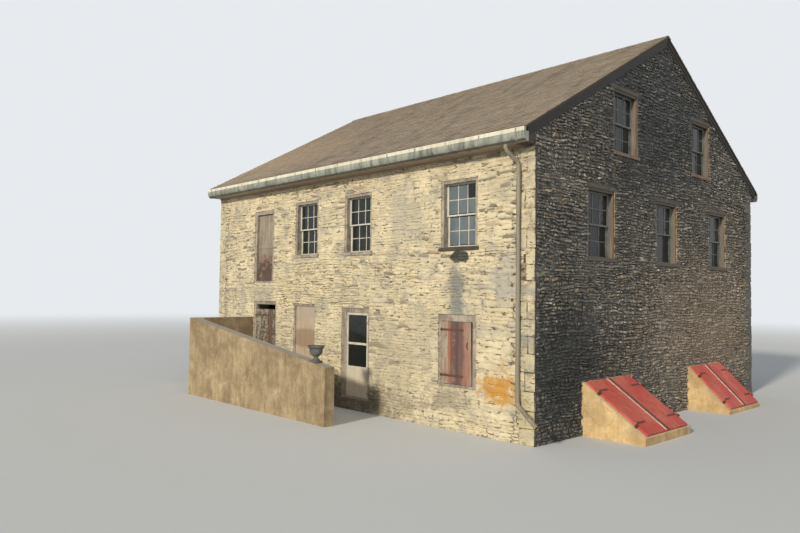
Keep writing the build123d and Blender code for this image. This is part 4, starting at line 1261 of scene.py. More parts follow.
CLOUDY_GLASS = GlassFinish("cloudy window pane", (0.108, 0.135, 0.142), (0.195, 0.212, 0.205), 0.6, 0.0)
OLD_LINTEL = TimberFinish("old grey lintel", (0.115, 0.10, 0.08), (0.16, 0.14, 0.11), Axis.Y, 0.6,
                          dirt=(0.02, 0.02, 0.018), dirt_share=0.5)
UPPER_DOOR_BOARD = TimberFinish(
    "grey-beige door board", (0.36, 0.295, 0.215), (0.29, 0.23, 0.16), Axis.Z, 0.35, dirt_share=0.45,
    spots=(Spot((-3.14, -4.9, 2.95), (0.7, 0.3, 0.72), (0.20, 0.115, 0.085), 0.75, 0.5, 0.8),
           Spot((-3.14, -4.9, 3.0), (0.45, 0.3, 0.42), (0.07, 0.042, 0.032), 0.85, 2.6, 0.9)))
TAUPE_BOARD = TimberFinish(
    "taupe board", (0.54, 0.41, 0.275), (0.42, 0.335, 0.235), Axis.Z, 0.25, dirt_share=0.25,
    spots=(Spot((-1.3, -4.97, 1.50), (0.9, 0.3, 0.26), (0.30, 0.215, 0.14), 0.9, 0.35, 0.7),
           Spot((-1.3, -4.97, 2.25), (0.9, 0.3, 0.35), (0.40, 0.33, 0.25), 0.8, 0.5, 0.6)))
PEELING_BOARD = TimberFinish(
    "decayed door board", (0.48, 0.43, 0.33), (0.13, 0.085, 0.05), Axis.Z, 0.55, dirt_share=0.5, flakes=4.2,
    spots=(Spot((-2.80, -4.9, 1.4), (0.13, 0.4, 2.0), (0.12, 0.072, 0.045), 0.85, 0.5, 0.85),))
# On the red door, the dark middle board tone and the narrow dark spot down its middle are painted tree
# shadow.
RED_BOARD = TimberFinish(
    "old red door board", (0.30, 0.10, 0.06), (0.30, 0.235, 0.175), Axis.Z, 0.42, (0.24, 0.055, 0.03), 0.62,
    ((0.0, (0.40, 0.36, 0.28)), (0.2, (0.40, 0.12, 0.05)), (0.4, (0.085, 0.055, 0.05)),
     (0.6, (0.42, 0.20, 0.12)), (0.8, (0.36, 0.26, 0.19))),
    spots=(Spot((3.72, -4.95, 1.7), (0.15, 0.4, 1.4), (0.075, 0.058, 0.055), 0.75, 0.35, 0.5),))
RED_LEAF = TimberFinish("red door edge", (0.10, 0.035, 0.022), (0.07, 0.05, 0.04), Axis.Z, 0.3)
WHITE_DOOR = TimberFinish(
    "white door paint", (0.66, 0.62, 0.51), (0.42, 0.35, 0.24), Axis.Z, 0.2, dirt=(0.14, 0.12, 0.09),
    spots=(Spot((0.70, -4.98, 0.58), (0.7, 0.3, 0.40), (0.54, 0.44, 0.30), 0.65, 0.5, 0.6),))
OLD_STRAP = MetalFinish("brown iron strap", (0.09, 0.045, 0.028), (0.13, 0.065, 0.038), rust_share=0.4,
                        gloss=0.7)
RED_STEEL = MetalFinish("matt red steel", (0.50, 0.068, 0.045), (0.56, 0.145, 0.095), rust_share=0.12,
                        streak_colour=(0.17, 0.045, 0.032), streak_share=0.35, gloss=0.62,
                        scratch_along=(0.78, 0.0, -0.62))
PINK_BEAD = MetalFinish("faded seam bead", (0.78, 0.50, 0.40), (0.66, 0.34, 0.26), rust_share=0.1, gloss=0.6)
AREAWAY_CONCRETE = ConcreteFinish(
    "stained areaway wall", (0.36, 0.265, 0.145), (0.50, 0.39, 0.24), (0.15, 0.10, 0.05), 0.65,
    (0.34, 0.31, 0.26), 0.22)
HATCH_PINS = tuple(
    Spot((x, y, z), (0.055, 0.05, 0.05), (0.09, 0.045, 0.028), 1.0, 0.0, 0.85)
    for x, z, ys in ((5.794, 0.821, (-3.435, -1.805)), (6.526, 0.327, (-3.435, -1.805)),
                     (5.729, 0.794, (1.075, 2.725)), (6.272, 0.269, (1.075, 2.725))) for y in ys)
CHEEK_MASONRY = ConcreteFinish(
    "yellow hatch cheek", (0.66, 0.43, 0.17), (0.80, 0.60, 0.33), (0.34, 0.23, 0.11), 0.65,
    (0.62, 0.52, 0.34), 0.3, HATCH_PINS)
URN_STONE = ConcreteFinish(
    "dark urn stone", (0.10, 0.095, 0.085), (0.17, 0.16, 0.14), (0.035, 0.032, 0.028), 0.5, None, 0.2)

NODE_FINISHES: dict[str, Finish] = {
    "limewashed_rubble": LIME_JOINT, "schist_rubble": SCHIST_JOINT, "floor_slab": FLOOR_SLAB,
    "floor_boards": FLOOR_BOARD, "roof_boards": ROOF_BOARD, "shingles": SHINGLE, "eave_timber": EAVE_BOARD,
    "verge_timber": VERGE_BOARD, "gutter_metal": GUTTER_PAINT, "downspout_metal": PIPE_PAINT,
    "weathered_frame": GREY_FRAME, "brown_frame": BROWN_FRAME,
    "white_sash": WHITE_SASH, "grey_sash": GREY_SASH,
    "window_glass": DARK_GLASS, "old_lintel": OLD_LINTEL, "grey_boards": UPPER_DOOR_BOARD,
    "taupe_boards": TAUPE_BOARD, "peeling_boards": PEELING_BOARD,
    "red_boards": RED_LEAF, "white_door": WHITE_DOOR,
    "red_steel": RED_STEEL, "areaway_concrete": AREAWAY_CONCRETE, "hatch_masonry": CHEEK_MASONRY,
    "urn_stone": URN_STONE,
}


# Stonework

SLOW_WAVES: Point = (0.9, 1.3)
QUICK_WAVES: Point = (4.6, 7.0)
MOST_PROUD = 0.036
STONE_BACK = -0.006
LEAST_STONE_AREA = 0.0007
WALL_EDGE_GAP = 0.004
EAVE_GAP = 0.006
FRAME_GAP = 0.004


@dataclass(frozen=True)
class Opening:
    """A rectangle of a wall face, from its low left to its high right corner."""

    left: float
    bottom: float
    right: float
    top: float

    def touches(self, other: "Opening") -> bool:
        """Tells whether two rectangles overlap."""
        return (self.left < other.right and other.left < self.right
                and self.bottom < other.top and other.bottom < self.top)

    def grown(self, across: float, up: float) -> "Opening":
        """Gives the rectangle with a margin all round."""
        return Opening(self.left - across, self.bottom - up, self.right + across, self.top + up)


@dataclass(frozen=True)
class WallPlane:
    """The outer face of a wall, measured along it and up."""

    origin: Vector
    along: Vector
    outward: Vector

    def place(self, along: float, up: float, out: float) -> Vector:
        """Gives the point of the shared frame for a place on the face."""
        return self.origin + self.along * along + UP * up + self.outward * out

    def opening(self, box: Box) -> Opening:
        """Gives the rectangle that a box covers on the face."""
        ends = sorted((corner - self.origin).dot(self.along) for corner in (box.low, box.high))
        return Opening(ends[0], box.low.z, ends[1], box.high.z)

    def reach(self, box: Box) -> list[float]:
        """Gives how far out of the face a box starts and ends."""
        return sorted((corner - self.origin).dot(self.outward) for corner in (box.low, box.high))

    def reached_by(self, box: Box, margin: float = 0.12) -> bool:
        """Tells whether a box comes within a margin of the face."""
        ends = self.reach(box)
        return ends[0] < margin and ends[1] > -margin


@dataclass(frozen=True)
class HalfPlane:
    """The part of a face where across * u + up * v stays under a limit."""

    across: float
    up: float
    limit: float

    def cut(self, polygon: list[Point]) -> list[Point]:
        """Cuts a polygon down to the allowed part.

        Args:
            polygon: Corners in order.

        Returns:
            The corners that are left, which may be none.
        """
        kept: list[Point] = []
        for index, point in enumerate(polygon):
            following = polygon[(index + 1) % len(polygon)]
            here = self.limit - self.across * point[0] - self.up * point[1]
            there = self.limit - self.across * following[0] - self.up * following[1]
            if here >= 0:
                kept.append(point)
            if (here > 0 > there) or (here < 0 < there):
                share = here / (here - there)
                kept.append((point[0] + (following[0] - point[0]) * share,
                             point[1] + (following[1] - point[1]) * share))
        return kept


def polygon_area(polygon: Sequence[Point]) -> float:
    """Gives the area inside a polygon."""
    total = 0.0
    for index, (u, v) in enumerate(polygon):
        next_u, next_v = polygon[(index + 1) % len(polygon)]
        total += u * next_v - next_u * v
    return abs(total) / 2


@dataclass(frozen=True)
class StoneSizes:
    """How large and how rough the stones of a wall are, in metres."""

    lift: Point = (0.22, 0.46)
    block: Point = (0.40, 1.2)
    course: Point = (0.04, 0.17)
    length: Point = (0.12, 0.60)
    joint: float = 0.005
    proud: Point = (0.002, 0.009)
    roughness: float = 0.002
    wander: float = 0.048
    tilt: Point = (0.025, 0.05)
    turn: float = 0.12
    taper: float = 0.42


@dataclass
class RubbleFacing:
    """The visible stones of one wall face, laid in rough courses."""

    name: str
    plane: WallPlane
    borders: tuple[HalfPlane, ...]
    length: float
    height: float
    openings: list[Opening]
    sizes: StoneSizes
    finish: StoneFinish
    slot: Slot
    seed: int
    smooth: bool = False
    rough_zone: Opening | None = None
    calm_zone: Opening | None = None
    split: float | None = None

    def __post_init__(self) -> None:
        """Starts the wall's own chance, and seeds the noise, whose offsets else come from the clock."""
        self.chance = random.Random(self.seed)
        noise.seed_set(self.seed)

    def shift(self, u: float, v: float) -> Point:
        """Moves a place a little, so that courses and joints wander.

        Args:
            u: Place along the wall.
            v: Height.

        Returns:
            The moved place.
        """
        slow = noise.noise_vector(Vector((u * SLOW_WAVES[0], v * SLOW_WAVES[1], self.seed)))
        quick = noise.noise_vector(Vector((u * QUICK_WAVES[0], v * QUICK_WAVES[1], self.seed + 9.5)))
        amount = self.sizes.wander
        return (u + slow.x * amount + quick.x * amount * 0.8,
                v + slow.y * amount * 1.3 + quick.y * amount * 0.6)

    def blocks(self) -> Iterator[Opening]:
        """Divides the face into lifts and each lift into blocks."""
        level = -0.1
        while level < self.height:
            rise = self.chance.uniform(*self.sizes.lift)
            start = -0.1 - self.chance.random() * 0.5
            while start < self.length + 0.1:
                run = self.chance.uniform(*self.sizes.block)
                yield Opening(start, level, start + run, level + rise)
                start += run
            level += rise

    def stones(self, block: Opening) -> Iterator[Opening]:
        """Splits a block until each piece has the size of a stone.

        Args:
            block: The block to split.

        Yields:
            Rectangles of single stones.
        """
        width = block.right - block.left
        height = block.top - block.bottom
        calm = 1.7 if self.calm_zone and self.calm_zone.touches(block) else 1.0
        thickest = self.chance.uniform(*self.sizes.course) * 1.25 * calm
        longest = self.chance.uniform(*self.sizes.length) * calm
        if height > thickest and height > 2 * self.sizes.course[0]:
            cut = block.bottom + height * self.chance.uniform(0.32, 0.68)
            yield from self.stones(Opening(block.left, block.bottom, block.right, cut))
            yield from self.stones(Opening(block.left, cut, block.right, block.top))
        elif width > max(longest, height * 1.1):
            cut = block.left + width * self.chance.uniform(0.3, 0.7)
            yield from self.stones(Opening(block.left, block.bottom, cut, block.top))
            yield from self.stones(Opening(cut, block.bottom, block.right, block.top))
        else:
            yield block

    def wear(self, u: float, v: float) -> float:
        """Gives how worn the wall is at a place, about 1, and more where it is open and rough."""
        place = Opening(u, v, u + 0.01, v + 0.01)
        worst = 2.4 if self.rough_zone and self.rough_zone.touches(place) else 1.0
        return worst * (1.0 + 0.9 * noise.noise(Vector((u * 0.9, v * 1.4, self.seed + 6.1))))

    def outline(self, stone: Opening) -> list[Point]:
        """Gives the uneven outline of a stone, a joint smaller than its rectangle."""
        gap = self.sizes.joint * self.chance.uniform(0.3, 0.8) * self.wear(stone.left, stone.bottom)
        left, right = stone.left + gap, stone.right - gap
        bottom, top = stone.bottom + gap, stone.top - gap
        height, width = top - bottom, right - left
        sink = [height * self.chance.uniform(0.0, self.sizes.taper) for _ in range(4)]
        cut = [min(height, width) * self.chance.uniform(0.12, 0.45) for _ in range(4)]
        points = [
            (left + cut[0], bottom + sink[0] * 0.4), (right - cut[1], bottom + sink[1] * 0.4),
            (right, bottom + cut[1]), (right - cut[2] * 0.3, top - cut[2]),
            (right - cut[2], top - sink[2] * 0.6), (left + cut[3], top - sink[3] * 0.6),
            (left, top - cut[3]), (left + cut[0] * 0.3, bottom + cut[0])]
        if width > 3.2 * height:
            middle = left + width * self.chance.uniform(0.35, 0.65)
            points.insert(5, (middle, top - height * self.chance.uniform(-0.02, 0.14)))
            points.insert(1, (middle, bottom + height * self.chance.uniform(-0.02, 0.14)))
        turn = self.chance.uniform(-1.0, 1.0) * self.sizes.turn * min(1.0, 0.16 / width)
        middle_u, middle_v = (left + right) / 2, (bottom + top) / 2
        return [self.shift(u - turn * (v - middle_v), v + turn * (u - middle_u)) for u, v in points]

    def trimmed(self, polygon: list[Point]) -> Iterator[list[Point]]:
        """Cuts an outline at the wall's borders and round its openings."""
        for border in self.borders:
            polygon = border.cut(polygon)
            if len(polygon) < 3:
                return
        pending = [polygon]
        for hole in self.openings:
            following = []
            for item in pending:
                us, vs = [point[0] for point in item], [point[1] for point in item]
                if not hole.touches(Opening(min(us), min(vs), max(us), max(vs))):
                    following.append(item)
                    continue
                following.append(HalfPlane(1.0, 0.0, hole.left).cut(item))
                following.append(HalfPlane(-1.0, 0.0, -hole.right).cut(item))
                inside = HalfPlane(-1.0, 0.0, -hole.left).cut(HalfPlane(1.0, 0.0, hole.right).cut(item))
                following.append(HalfPlane(0.0, 1.0, hole.bottom).cut(inside))
                following.append(HalfPlane(0.0, -1.0, -hole.top).cut(inside))
            pending = [item for item in following if len(item) >= 3 and polygon_area(item) > LEAST_STONE_AREA]
        yield from pending

    def tone(self, u: float, v: float) -> float:
        """Picks the tone of a stone, drifting slowly over the wall."""
        drift = noise.noise(Vector((u * 0.45, v * 0.6, self.seed + 3.3)))
        return min(1.0, max(0.0, self.chance.random() + drift * 0.35))

    def lay(self, maker: MeshMaker, polygon: list[Point]) -> None:
        """Adds one stone with a bedded back edge, a rounded shoulder and a split face.

        Args:
            maker: Mesh that the stone is added to.
            polygon: The stone's outline.
        """
        count = len(polygon)
        centre_u = sum(point[0] for point in polygon) / count
        centre_v = sum(point[1] for point in polygon) / count
        rough = self.sizes.roughness
        proud = min(MOST_PROUD, self.chance.uniform(*self.sizes.proud) * self.wear(centre_u, centre_v))
        tilt_u, tilt_v = (self.chance.uniform(-tilt, tilt) for tilt in self.sizes.tilt)
        reach = [math.hypot(u - centre_u, v - centre_v) for u, v in polygon]
        slim = min(reach)
        points: list[Vector] = []
        rims: list[float] = []
        for inset, share, rim in ((0.0, None, 0.0), (0.12 * slim, 0.62, 0.35), (0.38 * slim, 1.0, 1.0)):
            for (u, v), radius in zip(polygon, reach):
                factor = max(0.2, 1 - inset / max(radius, 1e-5))
                here_u, here_v = centre_u + (u - centre_u) * factor, centre_v + (v - centre_v) * factor
                depth = STONE_BACK
                if share is not None:
                    lean = (here_u - centre_u) * tilt_u + (here_v - centre_v) * tilt_v
                    depth = max(0.001, proud * share + lean + self.chance.uniform(-rough, rough) * share)
                points.append(self.plane.place(here_u, here_v, depth))
                rims.append(rim)
        points.append(self.plane.place(centre_u, centre_v, proud * self.chance.uniform(0.95, 1.2)))
        rims.append(1.0)
        faces: list[tuple[int, ...]] = []
        for ring in range(2):
            for index in range(count):
                after = (index + 1) % count
                faces.append((ring * count + index, ring * count + after,
                              (ring + 1) * count + after, (ring + 1) * count + index))
        faces.extend((2 * count + index, 2 * count + (index + 1) % count, 3 * count)
                     for index in range(count))
        maker.add(points, faces, self.tone(centre_u, centre_v), rims)

    def build(self) -> list[bpy.types.Object]:
        """Lays the whole wall face, with the stones over the split as a piece of their own.

        Returns:
            The pieces.
        """
        lower, upper = MeshMaker(), MeshMaker()
        for block in self.blocks():
            for stone in self.stones(block):
                high = self.split is not None and stone.bottom > self.split
                for polygon in self.trimmed(self.outline(stone)):
                    self.lay(upper if high else lower, polygon)
        makers = {self.name: lower}
        if self.split is not None:
            makers[f"{self.name}_upper"] = upper
        return [maker.make(name, self.finish, BUILDING, self.slot, self.smooth)
                for name, maker in makers.items()]


@dataclass
class CornerStones:
    """Dressed blocks that turn a corner, long and short by turns."""

    name: str
    corner: Vector
    top: float
    rise: Point = (0.24, 0.36)
    front_sides: Point = (0.30, 0.36)
    gable_sides: Point = (0.07, 0.045)
    split: float = 0.16
    proud: float = 0.009
    joint: float = 0.005
    seed: int = 5
    bare: bool = False

    def __post_init__(self) -> None:
        """Works out the blocks from the ground up."""
        chance = random.Random(self.seed)
        inward = Vector((-math.copysign(1, self.corner.x), -math.copysign(1, self.corner.y), 0.0))
        self.blocks: list[Box] = []

        def inside(across: float, deep: float, height: float) -> Vector:
            """Gives the point some way in from the corner along both walls."""
            return Vector((self.corner.x + inward.x * across, self.corner.y + inward.y * deep, height))

        level, turn = 0.0, 0
        while level < self.top - 0.12:
            rise = min(chance.uniform(*self.rise), self.top - level)
            sides = (self.front_sides[turn % 2], self.gable_sides[turn % 2])
            reach = [side * chance.uniform(0.88, 1.12) for side in sides]
            proud = self.proud * chance.uniform(0.5, 1.0)
            near = inside(-proud, -proud, level + self.joint / 2)
            far = inside(reach[0], reach[1], level + rise - self.joint / 2)
            if turn % 2 and not self.bare:
                back = Vector((far.x, self.corner.y + inward.y * 0.1, far.z))
                far = Vector((inside(self.split * chance.uniform(0.8, 1.2), 0.0, 0.0).x, far.y, far.z))
                start = Vector((far.x + inward.x * self.joint, near.y + inward.y * 0.003, near.z))
                self.blocks.append(bounding_box([start, back]))
            self.blocks.append(bounding_box([near, far]))
            level += rise
            turn += 1

    def openings(self, plane: WallPlane) -> list[Opening]:
        """Gives the rectangles that the blocks take from a wall face."""
        return [plane.opening(block).grown(0.006, 0.005)
                for block in self.blocks if plane.reached_by(block, 0.03)]

    def build(self) -> bpy.types.Object:
        """Builds the blocks as one piece."""
        chance = random.Random(self.seed + 1)
        maker = MeshMaker()
        for block in self.blocks:
            tone = chance.uniform(0.1, 0.72)
            maker.block(block, chance.uniform(0.008, 0.016), tone, 0.006, chance)
        finish, slot = (BARE_CORNER, Slot.SCHIST) if self.bare else (CORNER_STONE, Slot.LIMEWASHED)
        return maker.make(self.name, finish, BUILDING, slot)


@dataclass
class Masonry:
    """All the stonework that shows: four wall faces and their corners."""

    bare: StoneSizes = field(default_factory=lambda: StoneSizes(
        lift=(0.16, 0.36), course=(0.045, 0.12), length=(0.09, 0.30), joint=0.006, proud=(0.004, 0.034),
        roughness=0.009, wander=0.05, tilt=(0.46, 0.30), turn=0.20, taper=0.5))
    plain: StoneSizes = field(default_factory=lambda: StoneSizes(
        lift=(0.18, 0.38), course=(0.05, 0.125), length=(0.12, 0.46), joint=0.008, proud=(0.006, 0.026),
        roughness=0.006, wander=0.04, tilt=(0.18, 0.16), turn=0.12, taper=0.38))
    washed: StoneSizes = field(default_factory=StoneSizes)
    sill_horn: float = 0.04
    sill_depth: float = 0.075
    rough: tuple[float, ...] = (-3.0, 2.3, 0.6, 3.4)
    calm: tuple[float, ...] = (3.95, 0.4, 5.4, 3.1)
    splits: dict[str, float] = field(default_factory=lambda: {"right": 3.2, "left": 3.2, "rear": 2.6})

    def __post_init__(self) -> None:
        """Reads the outer faces of the walls from the frame."""
        left = node_box("left_gable_wall")
        right = node_box("right_gable_wall")
        self.left, self.right = left.low.x, right.high.x
        self.front, self.rear = right.low.y, right.high.y
        self.eave = node_box("front_eave_cornice").low.z
        self.planes = {
            "front": WallPlane(Vector((self.left, self.front, 0)), RIGHTWARD, FRONTWARD),
            "right": WallPlane(Vector((self.right, self.front, 0)), REARWARD, RIGHTWARD),
            "rear": WallPlane(Vector((self.right, self.rear, 0)), LEFTWARD, REARWARD),
            "left": WallPlane(Vector((self.left, self.rear, 0)), FRONTWARD, LEFTWARD),
        }

    def frame_openings(self, plane: WallPlane, names: Sequence[str]) -> list[Opening]:
        """Gives the openings that window and door frames fill.

        Args:
            plane: Wall face.
            names: Nodes of the frames.

        Returns:
            Rectangles without and with the sill's horns.
        """
        found = []
        for name in names:
            for box in loose_parts(name):
                if not plane.reached_by(box):
                    continue
                area = plane.opening(box)
                if "window" in name and "lintel" not in name:
                    found.append(area.grown(-self.sill_horn, 0.0))
                    found.append(Opening(area.left, area.bottom, area.right, area.bottom + self.sill_depth))
                else:
                    found.append(area)
        return [hole.grown(FRAME_GAP, FRAME_GAP) for hole in found]

    def rake_borders(self, plane: WallPlane) -> tuple[HalfPlane, ...]:
        """Gives the two sloping borders under the verge boards of a gable."""
        tree = surface_tree("bargeboards")
        middle = (self.front + self.rear) / 2
        outer = plane.origin.x + plane.outward.x * 0.012
        samples = []
        for share in (0.3, 0.8):
            y = middle + (self.front - middle) * share
            hit = tree.ray_cast(Vector((outer, y, self.eave - 0.3)), UP)[0]
            samples.append((abs(y - middle), hit.z if hit else self.eave))
        slope = (samples[0][1] - samples[1][1]) / (samples[1][0] - samples[0][0])
        peak = samples[0][1] + slope * samples[0][0]
        half = (self.rear - self.front) / 2
        return (HalfPlane(-slope, 1.0, peak - slope * half - EAVE_GAP),
                HalfPlane(slope, 1.0, peak + slope * half - EAVE_GAP))

    def corners(self) -> list[CornerStones]:
        """Sets up the four corners, dressed and limewashed at the front and bare at the rear."""
        sides = (("right", self.right), ("left", self.left))
        top = self.eave - 0.01
        front = [CornerStones(f"front_{side}_corner_stones", Vector((x, self.front, 0)), top, seed=seed)
                 for (side, x), seed in zip(sides, (11, 12))]
        rear = [CornerStones(f"rear_{side}_corner_stones", Vector((x, self.rear, 0)), top, (0.17, 0.30),
                             (0.44, 0.24), (0.22, 0.40), proud=0.020, joint=0.012, seed=seed, bare=True)
                for (side, x), seed in zip(sides, (13, 14))]
        return front + rear

    def build(self) -> list[bpy.types.Object]:
        """Lays the corners and then the walls round them.

        Returns:
            The pieces.
        """
        length, width = self.right - self.left, self.rear - self.front
        ridge = node_box("right_gable_wall").high.z
        lintels = "gable_window_lintels"
        walls = (
            ("front", "front_wall_stones", self.washed, 21,
             ["front_window_frames", "upper_door_frame", "boarded_opening_frame", "areaway_door_frame",
              "storm_door_frame", "red_door_frame", "areaway_return_wall"]),
            ("rear", "rear_wall_stones", self.plain, 22, ["rear_window_frames"]),
            ("right", "right_gable_stones", self.bare, 23,
             ["right_gable_window_frames", lintels, "hatch_1_cheeks", "hatch_2_cheeks"]),
            ("left", "left_gable_stones", self.plain, 24, ["left_gable_window_frames", lintels]),
        )
        corners = self.corners()
        pieces = [corner.build() for corner in corners]
        for side, name, sizes, seed, frames in walls:
            plane = self.planes[side]
            run, top = (length, self.eave) if side in ("front", "rear") else (width, ridge)
            heads = ((HalfPlane(0, 1, self.eave - EAVE_GAP),) if top == self.eave
                     else self.rake_borders(plane))
            borders = (HalfPlane(-1, 0, -WALL_EDGE_GAP), HalfPlane(1, 0, run - WALL_EDGE_GAP),
                       HalfPlane(0, -1, -WALL_EDGE_GAP), *heads)
            holes = self.frame_openings(plane, frames)
            for corner in corners:
                holes.extend(corner.openings(plane))
            finish, slot, zones = SCHIST_STONE, Slot.SCHIST, {}
            if side == "front":
                finish, slot, zones = LIMEWASHED_STONE, Slot.LIMEWASHED, {
                    "smooth": True, "rough_zone": self.zone(*self.rough), "calm_zone": self.zone(*self.calm)}
            facing = RubbleFacing(name, plane, borders, run, top, holes, sizes, finish, slot, seed,
                                  split=self.splits.get(side), **zones)
            pieces.extend(facing.build())
        return pieces

    def zone(self, start: float, bottom: float, end: float, top: float) -> Opening:
        """Turns a stretch of the front, given by its X and Z, into a rectangle of the front face."""
        return Opening(start - self.left, bottom, end - self.left, top)


# Roof


def roof_slope(node: str, side: int) -> tuple[FlatFace, Vector, Vector]:
    """Reads one slope of the roof.

    Args:
        node: Node of the slope's shingles.
        side: -1 for the front slope and 1 for the rear one.

    Returns:
        Its plane, the direction down it, and the plane's point over the origin.
    """
    face = flat_faces(node, Vector((0, side, 1.6)), 0.9)[0]
    down = Vector((0, side * face.normal.z, -abs(face.normal.y))).normalized()
    return face, down, face.lift(0, 0)


@dataclass
class ShingleCourses:
    """Courses of split shingles on one slope of the roof."""

    name: str
    node: str
    side: int
    exposure: float = 0.135
    width: Point = (0.09, 0.24)
    butt: Point = (0.010, 0.018)
    overlap: float = 1.12
    gap: float = 0.004
    narrowest: float = 0.02
    seed: int = 31

    def build(self) -> bpy.types.Object:
        """Lays the courses from the eave to the ridge.

        Returns:
            The piece.
        """
        chance = random.Random(self.seed)
        box = node_box(self.node)
        face, down, ridge = roof_slope(self.node, self.side)
        run = max(point.y * self.side for point in face.points) / abs(down.y)
        maker = MeshMaker()
        for row in range(math.ceil(run / self.exposure)):
            lower = run - row * self.exposure
            upper = max(0.0, lower - self.exposure * self.overlap)
            row_tone = chance.random()
            x = box.low.x - chance.uniform(0.0, 0.1)
            while x < box.high.x:
                step = chance.uniform(*self.width)
                left, right = max(x, box.low.x), min(x + step - self.gap, box.high.x)
                x += step
                if right - left < self.narrowest:
                    continue
                thick = chance.uniform(*self.butt)
                slip = chance.uniform(-0.006, 0.008)
                foot = lower + (slip if row else 0.0)
                skew = chance.uniform(-0.003, 0.003)
                points = [Vector((along, 0, 0)) + ridge + down * place + face.normal * height
                          for along, place, height in (
                              (left, upper, 0.002), (right, upper, 0.002),
                              (right, foot + skew, thick), (left, foot - skew, thick),
                              (right, foot + skew, 0.0), (left, foot - skew, 0.0))]
                # Low rims at the top of each shingle and on its butt face carry the painted shade of the
                # course lines.
                maker.add(points, [(0, 1, 2, 3), (3, 2, 4, 5), (0, 3, 5), (1, 4, 2), (0, 5, 4, 1)],
                          0.55 * row_tone + 0.45 * chance.random(), [0.1, 0.1, 1.0, 1.0, 0.0, 0.0])
        return maker.make(self.name, SHINGLE, BUILDING, Slot.SHINGLES)


@dataclass
class Roof:
    """Shingles on both slopes and the boards over the ridge."""

    ridge_board: float = 0.13
    ridge_thick: float = 0.016

    def build(self) -> list[bpy.types.Object]:
        """Builds the two slopes and the ridge."""
        return [
            ShingleCourses("front_shingle_courses", "front_roof_shingles", -1, seed=31).build(),
            ShingleCourses("rear_shingle_courses", "rear_roof_shingles", 1, seed=32).build(),
            self.ridge(),
        ]

    def ridge(self) -> bpy.types.Object:
        """Lays short overlapping boards along both sides of the ridge."""
        chance = random.Random(33)
        box = node_box("front_roof_shingles")
        maker = MeshMaker()
        for side, node in ((-1, "front_roof_shingles"), (1, "rear_roof_shingles")):
            face, down, ridge = roof_slope(node, side)
            x = box.low.x
            while x < box.high.x - 0.05:
                step = min(chance.uniform(0.28, 0.36), box.high.x - x)
                base = ridge + Vector((x, 0, 0)) + face.normal * 0.010
                start = base + down * (self.ridge_board / 2)
                end = start + Vector((step, 0, 0)) + face.normal * 0.004
                maker.bar(start, end, self.ridge_board, self.ridge_thick, face.normal, 0.003, chance.random())
                x += step
        return maker.make("ridge_boards", SHINGLE, BUILDING, Slot.SHINGLES)


# Joinery, iron and trim


@dataclass
class SashBars:
    """Glazing bars of a group of sashes, six panes to a sash."""

    name: str
    node: str
    plane: WallPlane
    finish: Finish
    slot: Slot
    bare: tuple[int, ...] = ()
    stile: float = 0.042
    bar: float = 0.018
    inset: float = 0.004
    columns: int = 3
    rows: int = 2

    def sashes(self) -> list[Box]:
        """Gives the boxes of the sashes that stand in this wall."""
        return [box for box in loose_parts(self.node) if self.plane.reached_by(box, 0.25)]

    def build(self) -> bpy.types.Object:
        """Builds the bars of every sash that still has them."""
        maker = MeshMaker()
        for index, box in enumerate(self.sashes()):
            if index in self.bare:
                continue
            area = self.plane.opening(box)
            outs = self.plane.reach(box)
            back, depth = outs[0] + self.inset, outs[1] - outs[0] - 2 * self.inset
            wide, high = area.right - area.left - 2 * self.stile, area.top - area.bottom - 2 * self.stile
            for column in range(1, self.columns):
                u = area.left + self.stile + wide * column / self.columns
                maker.bar(self.plane.place(u, area.bottom + self.stile / 2, back),
                          self.plane.place(u, area.top - self.stile / 2, back),
                          self.bar, depth, self.plane.outward, 0.005)
            for row in range(1, self.rows):
                v = area.bottom + self.stile + high * row / self.rows
                maker.bar(self.plane.place(area.left + self.stile / 2, v, back),
                          self.plane.place(area.right - self.stile / 2, v, back),
                          self.bar, depth * 0.96, self.plane.outward, 0.005)
        return maker.make(self.name, self.finish, BUILDING, self.slot)


@dataclass
class CloudyPanes:
    """Panes gone milky over the glass of one window."""

    name: str
    bars: SashBars
    sashes: tuple[int, ...]
    clear: tuple[tuple[int, int, int], ...]

    def build(self) -> bpy.types.Object:
        """Lays a thin sheet over each pane but the clear ones, given as sash, column and row."""
        plane, stile, bar = self.bars.plane, self.bars.stile, self.bars.bar
        chance = random.Random(41)
        maker = MeshMaker()
        boxes = self.bars.sashes()
        for index in self.sashes:
            area = plane.opening(boxes[index])
            out = (boxes[index].centre - plane.origin).dot(plane.outward) + 0.003
            wide = (area.right - area.left - 2 * stile) / self.bars.columns
            high = (area.top - area.bottom - 2 * stile) / self.bars.rows
            for column in range(self.bars.columns):
                for row in range(self.bars.rows):
                    if (index, column, row) in self.clear:
                        continue
                    u = area.left + stile + wide * (column + 0.5)
                    v = area.bottom + stile + high * row
                    maker.bar(plane.place(u, v + bar / 3, out), plane.place(u, v + high - bar / 3, out),
                              wide - bar * 0.7, 0.0015, plane.outward, 0.0, chance.random())
        return maker.make(self.name, CLOUDY_GLASS, BUILDING, Slot.GLASS)


